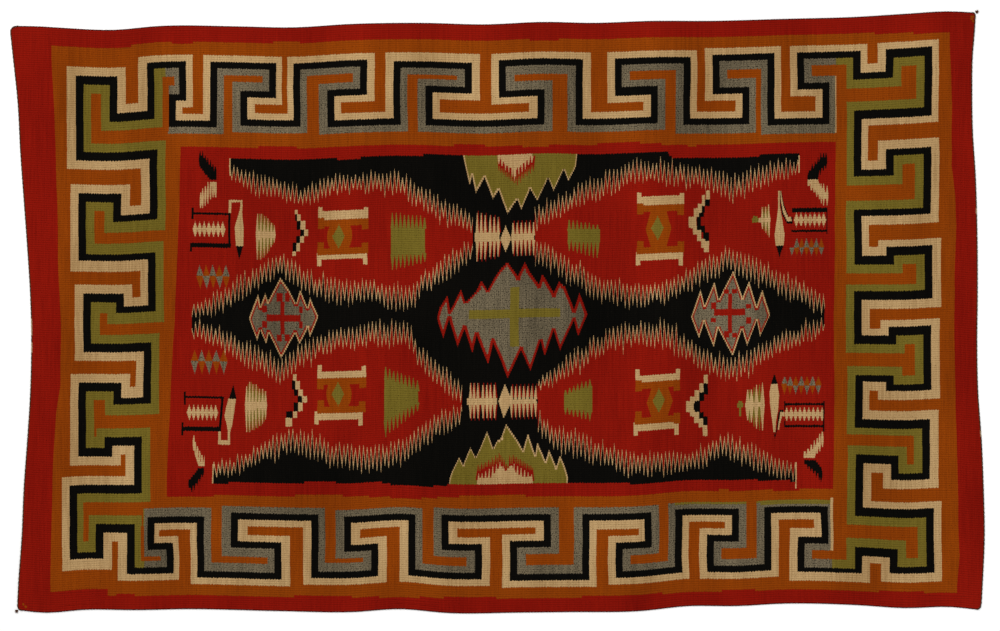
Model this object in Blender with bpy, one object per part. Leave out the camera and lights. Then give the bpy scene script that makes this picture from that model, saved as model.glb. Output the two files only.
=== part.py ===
"""A hand-woven wool rug lying flat: its ribbed body, four edging cords and two corner ties.

The long side runs along X, the short side along Y, and the rug rests on Z = 0.
"""
import math

import bmesh
import bpy
import numpy as np

# Driving dimensions, in metres
THICKNESS = 0.0035
RIB_HEIGHT = 0.0006
WARPS = 266
MARGIN_WIDTH = 0.012
EDGE_STEP = 0.024
TOUCH_GAP = 0.0003
END_CORD_WIDTH = 0.0034
SIDE_CORD_WIDTH = 0.0026
CORD_SIDES = 6
TIE_LENGTH = 0.0075
TIE_WIDTH = 0.006
TIE_HEIGHT = 0.004
TIE_SIDES = 10
ARC_STEPS = 4
TABLE_UNIT = 0.001

# The woven edges, in millimetres from the middle of the rug: the hand-beaten edges wander,
# and the rug is narrower at its top left than at its right.
TOP_EDGE = {
    "along": (-958, -915, -867, -771, -675, -515, -411, -291, -147, -27, 93, 189,
              309, 429, 573, 717, 813, 909, 949),
    "across": (572, 571, 568, 564, 572, 571, 569, 576, 578, 575, 580, 578,
               582, 582, 586, 590, 596, 601, 599),
}
BOTTOM_EDGE = {
    "along": (-951, -915, -819, -723, -627, -435, -291, -195, -99, 45, 141, 285,
              381, 477, 573, 717, 813, 909, 957),
    "across": (-593, -597, -591, -592, -590, -594, -596, -590, -598, -597, -596, -594,
               -584, -584, -579, -582, -588, -586, -591),
}
LEFT_EDGE = {
    "along": (-586, -542, -446, -350, -254, -158, -38, 34, 130, 226, 322, 418, 514, 560),
    "across": (-958, -956, -949, -945, -938, -932, -930, -932, -938, -945, -952, -957,
               -967, -972),
}
RIGHT_EDGE = {
    "along": (-580, -542, -446, -350, -254, -158, -62, 34, 178, 274, 370, 442, 514, 562, 594),
    "across": (965, 967, 971, 969, 965, 958, 956, 957, 956, 953, 947, 946, 947, 951, 953),
}

# Colours: red wool body, dark brown cords
WOOL_RED = (0.26, 0.012, 0.008, 1.0)
WOOL_DARK = (0.02, 0.013, 0.009, 1.0)


def clear_scene():
    for item in list(bpy.data.objects):
        bpy.data.objects.remove(item, do_unlink=True)


def wool(name, colour, roughness):
    material = bpy.data.materials.new(name)
    material.use_nodes = True
    shader = material.node_tree.nodes["Principled BSDF"]
    shader.inputs["Base Color"].default_value = colour
    shader.inputs["Roughness"].default_value = roughness
    shader.inputs["Metallic"].default_value = 0.0
    material.diffuse_color = colour
    return material


def add_object(name, shape, material):
    """Put a finished bmesh into the scene as one named object."""
    mesh = bpy.data.meshes.new(name)
    shape.to_mesh(mesh)
    shape.free()
    mesh.materials.append(material)
    item = bpy.data.objects.new(name, mesh)
    bpy.context.scene.collection.objects.link(item)
    return item


def smooth_curve(edge, at):
    """A cubic through the rows of an edge table, with the slope at a row taken over its neighbours."""
    along = np.array(edge["along"]) * TABLE_UNIT
    across = np.array(edge["across"]) * TABLE_UNIT
    slope = np.gradient(across, along)
    span = np.clip(np.searchsorted(along, at) - 1, 0, len(along) - 2)
    width = along[span + 1] - along[span]
    t = (at - along[span]) / width
    start = (2 * t**3 - 3 * t**2 + 1) * across[span] + (t**3 - 2 * t**2 + t) * width * slope[span]
    end = (3 * t**2 - 2 * t**3) * across[span + 1] + (t**3 - t**2) * width * slope[span + 1]
    return start + end


def stations(edge):
    """Evenly spaced places along an edge, close enough together for its waves."""
    first, last = edge["along"][0] * TABLE_UNIT, edge["along"][-1] * TABLE_UNIT
    return np.linspace(first, last, round((last - first) / EDGE_STEP) + 1)


def edge_lines():
    """The four edges as lists of points, anticlockwise: bottom, right, top, left."""
    lines = []
    for edge, swap, backwards in (
        (BOTTOM_EDGE, False, False),
        (RIGHT_EDGE, True, False),
        (TOP_EDGE, False, True),
        (LEFT_EDGE, True, True),
    ):
        along = stations(edge)
        across = smooth_curve(edge, along)
        points = np.column_stack((across, along) if swap else (along, across))
        lines.append(points[::-1] if backwards else points)
    return lines


def corner_points(before, after):
    """The rounding of a corner: a curve from one edge's end to the next one's start.

    It is a quadratic whose middle point is where the two edges would meet.
    """
    start, end = before[-1], after[0]
    run_in, run_out = start - before[-2], after[1] - end
    cross = run_in[0] * run_out[1] - run_in[1] * run_out[0]
    between = end - start
    reach = (between[0] * run_out[1] - between[1] * run_out[0]) / cross
    meeting = start + run_in * reach
    t = np.linspace(0, 1, ARC_STEPS + 1)[1:-1, None]
    return (1 - t) ** 2 * start + 2 * t * (1 - t) * meeting + t**2 * end


def offset_line(points, distance):
    """A line moved outwards by a distance, each point along the mitre of its two segments."""
    points = np.asarray(points)
    step = np.diff(points, axis=0)
    normal = np.column_stack((step[:, 1], -step[:, 0])) / np.linalg.norm(step, axis=1)[:, None]
    before = np.vstack((normal[:1], normal))
    after = np.vstack((normal, normal[-1:]))
    mitre = before + after
    mitre /= (1 + (before * after).sum(axis=1))[:, None]
    return points + mitre * distance


def ribbed_side(line, low, high):
    """The points of an end edge where the rib lines reach it, evenly spread between two heights."""
    across = np.linspace(low, high, 2 * WARPS + 1)
    order = np.argsort(line[:, 1])
    return np.column_stack((np.interp(across, line[order, 1], line[order, 0]), across))


def rug_body(lines, corners, material):
    """The woven body: flat beneath, with a ridge along every warp on its face.

    The rib lines run straight from end edge to end edge. A flat margin at each long side takes
    up the waves of that edge.
    """
    bottom, right, top, left = lines
    rib_left = ribbed_side(left, left[-1, 1] + MARGIN_WIDTH, left[0, 1] - MARGIN_WIDTH)
    rib_right = ribbed_side(right, right[0, 1] + MARGIN_WIDTH, right[-1, 1] - MARGIN_WIDTH)
    low_rim = np.vstack((left[-1:], corners[3], bottom, corners[0], right[:1]))
    high_rim = np.vstack((right[-1:], corners[1], top, corners[2], left[:1]))
    rim = np.vstack((low_rim, rib_right, high_rim, rib_left[::-1]))
    count = len(rim)
    first_right = len(low_rim)
    first_high = first_right + len(rib_right)
    first_left = first_high + len(high_rim)

    height = np.full(count, THICKNESS - RIB_HEIGHT)
    height[first_right + 1:first_high:2] = THICKNESS
    height[first_left + 1::2] = THICKNESS

    shape = bmesh.new()
    under = [shape.verts.new((x, y, 0.0)) for x, y in rim]
    over = [shape.verts.new((x, y, z)) for (x, y), z in zip(rim, height)]
    for i in range(count):
        j = (i + 1) % count
        shape.faces.new((under[i], under[j], over[j], over[i]))
    for i in range(2 * WARPS):
        right_low, left_low = first_right + i, count - 1 - i
        ring = (left_low, right_low, right_low + 1, left_low - 1)
        shape.faces.new([over[k] for k in ring])
        shape.faces.new([under[k] for k in reversed(ring)])
    low_ring = [count - 1] + list(range(first_right + 1))
    high_ring = list(range(first_high - 1, first_left + 1))
    for ring in (low_ring, high_ring):
        shape.faces.new([over[k] for k in ring])
        shape.faces.new([under[k] for k in reversed(ring)])
    return add_object("rug_body", shape, material)


def cord_tube(name, line, width, material):
    """A cord along a line: a six-sided tube with closed ends, its underside on the floor."""
    line = np.asarray(line)
    run = np.gradient(line, axis=0)
    side = np.column_stack((run[:, 1], -run[:, 0])) / np.linalg.norm(run, axis=1)[:, None]
    turn = np.arange(CORD_SIDES) * 2 * math.pi / CORD_SIDES
    radius = width / 2
    lift = radius * math.sin(turn[1])
    shape = bmesh.new()
    rings = []
    for place, out in zip(line, side):
        rings.append([
            shape.verts.new((
                place[0] + out[0] * radius * math.cos(angle),
                place[1] + out[1] * radius * math.cos(angle),
                lift + radius * math.sin(angle),
            ))
            for angle in turn
        ])
    for ring, following in zip(rings, rings[1:]):
        for k in range(CORD_SIDES):
            j = (k + 1) % CORD_SIDES
            shape.faces.new((ring[k], ring[j], following[j], following[k]))
    shape.faces.new(rings[0][::-1])
    shape.faces.new(rings[-1])
    bmesh.ops.recalc_face_normals(shape, faces=shape.faces)
    cord = add_object(name, shape, material)
    cord.data.shade_smooth()
    return cord


def corner_tie(name, base, direction, material):
    """A small flattened knot: a bulb that starts flat at the cord and draws in to a blunt tip."""
    profile = ((0.0, 0.55), (0.18, 0.95), (0.42, 1.0), (0.68, 0.7), (0.88, 0.42), (1.0, 0.2))
    out = np.array(direction)
    sideways = np.array((-out[1], out[0]))
    turn = np.arange(TIE_SIDES) * 2 * math.pi / TIE_SIDES
    lift = TIE_HEIGHT / 2
    shape = bmesh.new()
    rings = []
    for share, bulge in profile:
        ring = []
        for angle in turn:
            spot = base + out * TIE_LENGTH * share
            spot = spot + sideways * TIE_WIDTH / 2 * bulge * math.cos(angle)
            ring.append(shape.verts.new((*spot, lift + lift * bulge * math.sin(angle))))
        rings.append(ring)
    for ring, following in zip(rings, rings[1:]):
        for k in range(TIE_SIDES):
            j = (k + 1) % TIE_SIDES
            shape.faces.new((ring[k], ring[j], following[j], following[k]))
    shape.faces.new(rings[0][::-1])
    shape.faces.new(rings[-1])
    bmesh.ops.recalc_face_normals(shape, faces=shape.faces)
    tie = add_object(name, shape, material)
    tie.data.shade_smooth()
    return tie


def tie_place(rim_line):
    """Where a corner tie starts and points: outwards at the middle of its corner's cord."""
    middle = len(rim_line) // 2
    before, here, after = rim_line[middle - 1], rim_line[middle], rim_line[middle + 1]
    out = (here - before) / np.linalg.norm(here - before)
    out = out - (after - here) / np.linalg.norm(after - here)
    out = out / np.linalg.norm(out)
    return here + out * TOUCH_GAP, out


def main():
    clear_scene()
    red = wool("wool_red", WOOL_RED, 0.9)
    dark = wool("wool_cord_dark", WOOL_DARK, 0.85)
    lines = edge_lines()
    corners = [corner_points(lines[k], lines[(k + 1) % 4]) for k in range(4)]
    bottom_right, top_right, top_left, bottom_left = corners
    bottom, right, top, left = lines

    # The end cords turn the corners, and the side cords meet them there.
    around = {
        "end_cord_right": np.vstack((bottom[-1:], bottom_right, right, top_right, top[:1])),
        "end_cord_left": np.vstack((top[-1:], top_left, left, bottom_left, bottom[:1])),
    }
    alongside = {"side_cord_bottom": bottom, "side_cord_top": top}
    end_lines, end_rims, side_lines = {}, {}, {}
    for name, line in around.items():
        end_lines[name] = offset_line(line, TOUCH_GAP + END_CORD_WIDTH / 2)
        end_rims[name] = offset_line(line, TOUCH_GAP + END_CORD_WIDTH)
    for name, line in alongside.items():
        line = offset_line(line, TOUCH_GAP + SIDE_CORD_WIDTH / 2)
        first, last = line[1] - line[0], line[-1] - line[-2]
        line[0] += first / np.linalg.norm(first) * TOUCH_GAP
        line[-1] -= last / np.linalg.norm(last) * TOUCH_GAP
        side_lines[name] = line
    ties = {
        "corner_tie_top_right": end_rims["end_cord_right"][-ARC_STEPS - 1:],
        "corner_tie_bottom_left": end_rims["end_cord_left"][-ARC_STEPS - 1:],
    }
    ties = {name: tie_place(rim) for name, rim in ties.items()}

    # Everything is moved so that the whole rug is centred on the origin.
    tips = [base + out * TIE_LENGTH for base, out in ties.values()]
    reach = np.vstack(list(end_rims.values()) + list(side_lines.values()) + tips)
    centre = (reach.min(axis=0) + reach.max(axis=0)) / 2
    lines = [line - centre for line in lines]
    corners = [corner - centre for corner in corners]

    rug_body(lines, corners, red)
    for name, line in end_lines.items():
        cord_tube(name, line - centre, END_CORD_WIDTH, dark)
    for name, line in side_lines.items():
        cord_tube(name, line - centre, SIDE_CORD_WIDTH, dark)
    for name, (base, out) in ties.items():
        corner_tie(name, base - centre, out, dark)


main()
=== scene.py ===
import math

import bpy
import numpy as np
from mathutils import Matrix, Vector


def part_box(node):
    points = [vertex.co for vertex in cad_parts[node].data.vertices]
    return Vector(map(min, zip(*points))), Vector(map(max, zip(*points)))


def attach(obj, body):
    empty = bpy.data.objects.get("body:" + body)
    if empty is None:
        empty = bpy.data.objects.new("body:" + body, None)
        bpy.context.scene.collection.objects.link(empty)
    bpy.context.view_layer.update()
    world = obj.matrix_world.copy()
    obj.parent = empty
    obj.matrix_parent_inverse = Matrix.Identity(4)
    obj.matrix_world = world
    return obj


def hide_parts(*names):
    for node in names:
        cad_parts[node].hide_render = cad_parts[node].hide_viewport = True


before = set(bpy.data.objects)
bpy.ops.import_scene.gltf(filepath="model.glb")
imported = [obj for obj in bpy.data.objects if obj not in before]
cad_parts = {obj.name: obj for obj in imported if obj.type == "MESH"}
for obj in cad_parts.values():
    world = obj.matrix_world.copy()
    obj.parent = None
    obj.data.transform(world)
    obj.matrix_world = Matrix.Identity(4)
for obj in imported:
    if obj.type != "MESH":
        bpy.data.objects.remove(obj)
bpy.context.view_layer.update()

# The room: a plain white floor and soft light from two large lamps and a pale sky, much as in
# the photograph, where the rug lies cut out on white.


def node(tree, kind, inputs=None, **settings):
    """A new node: each input takes a value, or the socket that it is linked from."""
    item = tree.nodes.new(kind)
    for name, value in settings.items():
        setattr(item, name, value)
    for name, value in (inputs or {}).items():
        if isinstance(value, bpy.types.NodeSocket):
            tree.links.new(value, item.inputs[name])
        else:
            item.inputs[name].default_value = value
    return item


def lamp(name, place, size, power, tint):
    """A square soft lamp at a place, turned to face the middle of the rug."""
    light = bpy.data.lights.new(name, "AREA")
    light.size = size
    light.energy = power
    light.color = tint
    item = bpy.data.objects.new(name, light)
    item.location = place
    item.rotation_mode = "QUATERNION"
    item.rotation_quaternion = (-item.location).to_track_quat("-Z", "Y")
    bpy.context.scene.collection.objects.link(item)


def white_floor():
    """White painted board, its tone a little uneven."""
    reach, drop = 30.0, -0.0002
    corners = [(x * reach, y * reach, drop) for x, y in ((-1, -1), (1, -1), (1, 1), (-1, 1))]
    mesh = bpy.data.meshes.new("floor")
    mesh.from_pydata(corners, [], [(0, 1, 2, 3)])
    material = bpy.data.materials.new("floor_white")
    material.use_nodes = True
    tree = material.node_tree
    place = node(tree, "ShaderNodeTexCoord").outputs["Object"]
    noise = node(tree, "ShaderNodeTexNoise", {"Vector": place, "Scale": 1.5}).outputs["Fac"]
    white = node(tree, "ShaderNodeMix", {"Factor": noise}, data_type="RGBA")
    white.inputs["A"].default_value = (0.93, 0.93, 0.93, 1)
    white.inputs["B"].default_value = (0.96, 0.96, 0.96, 1)
    tree.links.new(white.outputs["Result"], tree.nodes["Principled BSDF"].inputs["Base Color"])
    tree.nodes["Principled BSDF"].inputs["Roughness"].default_value = 0.8
    mesh.materials.append(material)
    floor = bpy.data.objects.new("floor", mesh)
    bpy.context.scene.collection.objects.link(floor)


LAMPS = {
    "lamp_key": {"place": (-1.6, 2.6, 3.6), "size": 2.4, "power": 130, "tint": (1.0, 0.98, 0.95)},
    "lamp_fill": {"place": (2.2, -1.8, 3.8), "size": 3.0, "power": 70, "tint": (0.96, 0.98, 1.0)},
}
SKY_STRENGTH = 0.55
white_floor()
for name, settings in LAMPS.items():
    lamp(name, **settings)
world = bpy.data.worlds.new("pale_room")
world.use_nodes = True
world.node_tree.nodes["Background"].inputs["Color"].default_value = (1, 1, 1, 1)
world.node_tree.nodes["Background"].inputs["Strength"].default_value = SKY_STRENGTH
bpy.context.scene.world = world
bpy.context.scene.view_settings.view_transform = "Standard"

# The warps: 266 wool warps run the long way, stretched on an upright loom. The beaten edges
# wander, so the spaces between the warps fan a little. Edges are in millimetres from the middle,
# as measured in the photograph.
WARPS = 266
MILLIMETRE = 0.001
EDGE_STEP = 0.024
ARC_STEPS = 4
TOP_EDGE = {
    "along": (-958, -915, -867, -771, -675, -515, -411, -291, -147, -27, 93, 189,
              309, 429, 573, 717, 813, 909, 949),
    "across": (572, 571, 568, 564, 572, 571, 569, 576, 578, 575, 580, 578,
               582, 582, 586, 590, 596, 601, 599),
}
BOTTOM_EDGE = {
    "along": (-951, -915, -819, -723, -627, -435, -291, -195, -99, 45, 141, 285,
              381, 477, 573, 717, 813, 909, 957),
    "across": (-593, -597, -591, -592, -590, -594, -596, -590, -598, -597, -596, -594,
               -584, -584, -579, -582, -588, -586, -591),
}
LEFT_EDGE = {
    "along": (-586, -542, -446, -350, -254, -158, -38, 34, 130, 226, 322, 418, 514, 560),
    "across": (-958, -956, -949, -945, -938, -932, -930, -932, -938, -945, -952, -957,
               -967, -972),
}
RIGHT_EDGE = {
    "along": (-580, -542, -446, -350, -254, -158, -62, 34, 178, 274, 370, 442, 514, 562, 594),
    "across": (965, 967, 971, 969, 965, 958, 956, 957, 956, 953, 947, 946, 947, 951, 953),
}


def edge_at(edge, at):
    """A cubic through an edge table's rows, in metres, level beyond its ends."""
    along = np.array(edge["along"]) * MILLIMETRE
    across = np.array(edge["across"]) * MILLIMETRE
    slope = np.gradient(across, along)
    span = np.clip(np.searchsorted(along, at) - 1, 0, len(along) - 2)
    width = along[span + 1] - along[span]
    t = np.clip((at - along[span]) / width, 0, 1)
    start = (2 * t**3 - 3 * t**2 + 1) * across[span] + (t**3 - 2 * t**2 + t) * width * slope[span]
    end = (3 * t**2 - 2 * t**3) * across[span + 1] + (t**3 - t**2) * width * slope[span + 1]
    return start + end


def edge_line(edge, swap, backwards):
    """One edge as points about 24 mm apart, going anticlockwise round the rug."""
    first, last = edge["along"][0] * MILLIMETRE, edge["along"][-1] * MILLIMETRE
    along = np.linspace(first, last, round((last - first) / EDGE_STEP) + 1)
    across = edge_at(edge, along)
    points = np.column_stack((across, along) if swap else (along, across))
    return points[::-1] if backwards else points


def corner_line(before, after):
    """A corner's rounding: a quadratic whose middle point is where the two edges would meet."""
    start, end = before[-1], after[0]
    run_in, run_out = start - before[-2], after[1] - end
    cross = run_in[0] * run_out[1] - run_in[1] * run_out[0]
    between = end - start
    meeting = start + run_in * (between[0] * run_out[1] - between[1] * run_out[0]) / cross
    t = np.linspace(0, 1, ARC_STEPS + 1)[1:-1, None]
    return (1 - t) ** 2 * start + 2 * t * (1 - t) * meeting + t**2 * end


bottom_line = edge_line(BOTTOM_EDGE, False, False)
right_line = edge_line(RIGHT_EDGE, True, False)
top_line = edge_line(TOP_EDGE, False, True)
left_line = edge_line(LEFT_EDGE, True, True)
corner_bottom_right = corner_line(bottom_line, right_line)
corner_top_right = corner_line(right_line, top_line)
corner_top_left = corner_line(top_line, left_line)
corner_bottom_left = corner_line(left_line, bottom_line)
right_end = np.vstack((bottom_line[-1:], corner_bottom_right, right_line, corner_top_right, top_line[:1]))
left_end = np.vstack((top_line[-1:], corner_top_left, left_line, corner_bottom_left, bottom_line[:1]))

# The tables' middle is not quite the frame's origin: the woven body's own box says by how much.
outline = np.vstack((right_end, top_line, left_end, bottom_line))
body_low, body_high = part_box("rug_body")
body_middle = np.array((body_low + body_high)[:2]) / 2
centre = (outline.min(axis=0) + outline.max(axis=0)) / 2 - body_middle

# The camera looks straight down, as the photograph does. The chart's squares are 2 mm, and
# are also the photograph's pixels, so they give where its middle lies and how far off it stands.
SQUARE = 0.002
CHART_MIDDLE = np.array((497.7, 313.0))
PICTURE_MIDDLE = np.array((500.0, 315.5))
PICTURE_WIDTH = 1000 * SQUARE
LENS, SENSOR = 85.0, 36.0
camera = bpy.data.objects.new("camera", bpy.data.cameras.new("camera"))
camera.data.lens = LENS
camera.data.sensor_width = SENSOR
shift = (PICTURE_MIDDLE - CHART_MIDDLE) * (SQUARE, -SQUARE) - centre
camera.location = (*shift, PICTURE_WIDTH * LENS / SENSOR)
bpy.context.scene.collection.objects.link(camera)
bpy.context.scene.camera = camera


def side_of(x, edge):
    """How far down the chart a long edge lies, at chart columns x."""
    return CHART_MIDDLE[1] - edge_at(edge, (x - CHART_MIDDLE[0]) * SQUARE) / SQUARE


def warp_at(x, y):
    """The warp, counted from the top edge, that runs through a place of the chart."""
    top, bottom = side_of(x, TOP_EDGE), side_of(x, BOTTOM_EDGE)
    return (y - top) / (bottom - top) * WARPS


# The cartoon: the weaver's plan, one row for each warp and a column for every half millimetre.
# Places on it are in squares of 2 mm, counted from the top left. It starts as all red yarn, and
# the red margin, the orange band round it and the red field are laid out first.
RED, ORANGE, CREAM, BLACK, GREY, OLIVE = range(6)
PICKS_PER_SQUARE = 4
CHART_LEFT, CHART_RIGHT = 8, 992
pick_x = CHART_LEFT + (np.arange((CHART_RIGHT - CHART_LEFT) * PICKS_PER_SQUARE) + 0.5) / PICKS_PER_SQUARE
warp_number = (np.arange(WARPS) + 0.5)[:, None]
chart_top, chart_bottom = side_of(pick_x, TOP_EDGE), side_of(pick_x, BOTTOM_EDGE)
place_y = chart_top + warp_number / WARPS * (chart_bottom - chart_top)
yarn = np.full(place_y.shape, RED, np.uint8)
rng = np.random.default_rng(7)


def hand_wobble(amount, warps_apart, picks_apart):
    """Slow random drift over the plan: random values on a coarse grid, blended linearly between."""
    rows, columns = place_y.shape
    knots = rng.normal(0, amount, (rows // warps_apart + 3, columns // picks_apart + 3))
    down, along = np.arange(rows) / warps_apart, np.arange(columns) / picks_apart
    i, j = down.astype(int), along.astype(int)
    u, v = (down - i)[:, None], (along - j)[None, :]
    near = knots[i][:, j] * (1 - v) + knots[i][:, j + 1] * v
    far = knots[i + 1][:, j] * (1 - v) + knots[i + 1][:, j + 1] * v
    return near * (1 - u) + far * u


# Where the picks really lie: each is beaten down by hand, so colour changes drift a little.
place_x = pick_x + hand_wobble(0.35, 9, 160)


def columns_of(low, high):
    """The slice of the plan's columns that can hold anything between two places along it."""
    slack = 3
    return slice(*np.searchsorted(pick_x, (low - slack, high + slack)))


def weave_block(low_x, high_x, low_y, high_y, colour):
    """A rectangle of one yarn, its long sides lying between two warps."""
    middle = (low_x + high_x) / 2
    first, last = warp_at(middle, low_y), warp_at(middle, high_y)
    part = columns_of(low_x, high_x)
    x = place_x[:, part]
    yarn[:, part][(x >= low_x) & (x < high_x) & (warp_number >= first) & (warp_number < last)] = colour


def weave_blocks(blocks, colour):
    """Several rectangles of one yarn."""
    for block in blocks:
        weave_block(*block, colour)


def weave_shape(points, colour, only=None):
    """A closed outline of one yarn: inside is where a line leftwards crosses it an odd number of times.

    Where a mask of the plan is given too, only its part is woven.
    """
    points = np.asarray(points, float)
    x = points[:, 0]
    v = warp_at(x.mean(), points[:, 1])
    part = columns_of(x.min(), x.max())
    within = np.zeros(yarn[:, part].shape, bool)
    for x_from, v_from, x_to, v_to in zip(x, v, np.roll(x, -1), np.roll(v, -1)):
        if v_from != v_to:
            crossing = x_from + (warp_number - v_from) / (v_to - v_from) * (x_to - x_from)
            within ^= ((v_from > warp_number) != (v_to > warp_number)) & (place_x[:, part] < crossing)
    if only is not None:
        within &= only[:, part]
    yarn[:, part][within] = colour


def between(top, bottom, left, right):
    """The part of the plan inside four lines, each a table of places and how far across it lies there."""
    first = warp_at(pick_x, np.interp(pick_x, *top))
    last = warp_at(pick_x, np.interp(pick_x, *bottom))
    inside = (warp_number > first) & (warp_number < last)
    return inside & (place_x > np.interp(place_y, *left)) & (place_x < np.interp(place_y, *right))


# The edges of the orange band and of the field: places along each side, and how far across it
# lies there, as measured in the photograph.
MARGIN = {
    "top": ((54, 60, 100, 127, 140, 300, 420, 500, 620, 740, 820, 940, 955),
            (46.2, 46.2, 48.2, 47.5, 43.1, 42.5, 39.6, 40.2, 39.3, 36.3, 33.8, 33.2, 33)),
    "bottom": ((50, 60, 100, 107.9, 108, 140, 220, 340, 460, 540, 620, 700, 780, 860, 940),
               (591.2, 591.2, 589.3, 589.5, 594.5, 594.9, 595.3, 596.6, 597.5, 597.8, 595.5,
                591.4, 589.1, 590.8, 592.3)),
    "left": ((45, 55, 115, 175, 205, 265, 325, 385, 415, 475, 535, 565),
             (51.7, 51.7, 54.7, 56.2, 57.7, 58.4, 61.2, 60.4, 56.3, 53.1, 51.7, 50.5)),
    "right": ((30, 45, 105, 165, 195, 225, 315, 405, 465, 555, 585),
              (949.4, 949.4, 951.9, 950.8, 955.1, 956.1, 953.9, 955.2, 957.4, 959.3, 956.9)),
}
FIELD = {
    "top": ((190, 310, 390, 470, 510, 590, 630, 690, 750, 830),
            (146.2, 147.8, 145.6, 145.1, 146.7, 144.7, 142.1, 146, 144.3, 141.7)),
    "bottom": ((180, 220, 340, 420, 500, 540, 620, 660, 700, 780, 820),
               (496.8, 495.5, 495.5, 498.4, 494.4, 496, 496, 493.1, 489.8, 490.2, 488.8)),
    "left": ((155, 255, 355, 480), (180.5, 177.8, 172.7, 166.9)),
    "right": ((150, 325, 425, 475), (835.4, 833.5, 834, 832.9)),
}
yarn[between(**MARGIN)] = ORANGE
yarn[between(**FIELD)] = RED


# The fret border: one unbroken black line that turns back on itself in hooks, with a cream line
# along its outer side and grey or olive along its inner side. The weaver counts warps for its
# levels along the long sides, and measures picks along the short ones.
# Each corner of the line has a column and the row that it turns to there, clockwise from top left,
# and how wide cream and the inner colour are beside that column. Along the warps every stripe of a
# side has one width, counted in warps. Places and widths are as measured in the photograph.
FRET_TOP = {
    "column": (151, 182.7, 172.3, 213.8, 272.8, 244, 297, 363.5, 331, 397, 468.5, 429.3,
               541, 502.6, 579, 654, 618, 686.5, 745.5, 715.5, 770.8, 825.5, 800.5),
    "row": (66, 96.5, 123.7, 65.8, 94, 124, 65, 93, 123, 64, 89.5, 123,
            92.5, 62.5, 122, 91, 61, 122.5, 90, 58.5, 122.3, 87, 55),
    "cream": (9, 6.5, 6.5, 7, 5.7, 7.5, 6, 7.5, 6.5, 8, 8, 7,
              8.5, 7.5, 8, 7.5, 7.5, 6.5, 7, 7.5, 6.5, 7, 7),
    "inner": (8, 7, 1, 6.5, 6.5, 8, 6.5, 7, 8.5, 7, 8, 8,
              8, 8.5, 8, 7.5, 8, 7.5, 6.5, 7.5, 6.5, 6.5, 7.5),
    "warps": {"black": 1.52, "cream": 3.1, "inner": 3.2},
    "black": 3.55,
}
FRET_RIGHT = {
    "column": (856.8, 889.5, 928, 857.3, 889.7, 926.7, 857.8, 890, 928.5, 857.5, 892, 927, 889.5,
               858.5, 926, 894.3, 858.8, 930, 893.5),
    "row": (75.7, 53, 112.7, 173, 151.8, 212, 260.3, 251.5, 296.2, 340.5, 331.5, 387.8, 378.5,
            424, 476.8, 459.5, 514, 570, 552),
    "cream": (6.5, 8, 6.5, 6.5, 8, 8, 7, 8, 8.5, 8, 8, 8.5, 8, 6.5, 8.5, 8, 8, 7.5, 8.5),
    "inner": (6.5, 8, 8, 7, 8.5, 8.5, 8, 8.5, 8.5, 8, 8.5, 8.5, 8.5, 8, 8.5, 8.5, 8, 8.5, 8.5),
    "warps": {"black": 1.85, "cream": 3.7, "inner": 3.8},
    "black": 3.9,
}
FRET_BOTTOM = {
    "column": (858.4, 801, 824.6, 767.4, 710.3, 735, 678.5, 619.5, 648, 585.8, 513.3, 547,
               445.3, 478.5, 411.8, 347.5, 374.8, 314.8, 234.7, 278, 201, 151.3, 170),
    "row": (570, 539, 509.5, 569, 538.5, 512.5, 572.5, 544.5, 518, 576, 544, 517.8,
            547, 575.5, 518.3, 547, 574, 517.3, 545.5, 574.3, 519, 546.3, 571),
    "cream": (8, 8, 7, 7.5, 7.5, 7, 6.5, 7.5, 5.7, 7, 7.5, 8,
              8.5, 8, 8.5, 9, 8.5, 8, 9.5, 8.5, 6.5, 4.8, 5.5),
    "inner": (8.5, 7.5, 4.5, 7.5, 7.5, 7.5, 6.5, 8, 7.5, 8.5, 8.5, 8,
              8, 8.5, 7, 8.5, 8, 6.5, 9, 6.8, 7, 4.3, 6),
    "warps": {"black": 1.47, "cream": 3.1, "inner": 3.3},
    "black": 3.6,
}
FRET_LEFT = {
    "column": (131, 99.8, 73.8, 138, 108.5, 82.5, 118, 147.5, 87.3, 120, 152, 82.7, 117.5, 153.5, 80, 113.8),
    "row": (529, 555.5, 489, 441.5, 451.3, 387.5, 400.8, 347.5,
            298.7, 309.5, 258, 198, 217.8, 157, 80.5, 116),
    "cream": (9, 8.5, 7.5, 8.5, 8.5, 8, 8.5, 7.5, 8.5, 8.5, 7.5, 8, 8.5, 8.5, 9, 8.3),
    "inner": (7, 7, 6, 8.5, 8, 8, 8.5, 8, 9, 8.5, 8, 8.5, 8.5, 8, 7.5, 8.5),
    "warps": {"black": 1.9, "cream": 4.1, "inner": 4.3},
    "black": 3.9,
}
FRET = (FRET_TOP, FRET_RIGHT, FRET_BOTTOM, FRET_LEFT)


def fret_row(name):
    """One row of the four tables end to end."""
    return np.concatenate([side[name] for side in FRET])


def fret_corners():
    """The line's corners as columns and warps: a straight run along the warps keeps to one of them."""
    column = fret_row("column")
    warp = warp_at((column + np.roll(column, -1)) / 2, fret_row("row"))
    return corner_pairs(column, warp)


def corner_pairs(by_column, by_row):
    """Two values for each corner in turn: every column has a corner at the row before and at its own."""
    pairs = np.empty((2 * len(by_column), 2))
    pairs[0::2] = np.column_stack((by_column, np.roll(by_row, 1)))
    pairs[1::2] = np.column_stack((by_column, by_row))
    return pairs


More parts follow.
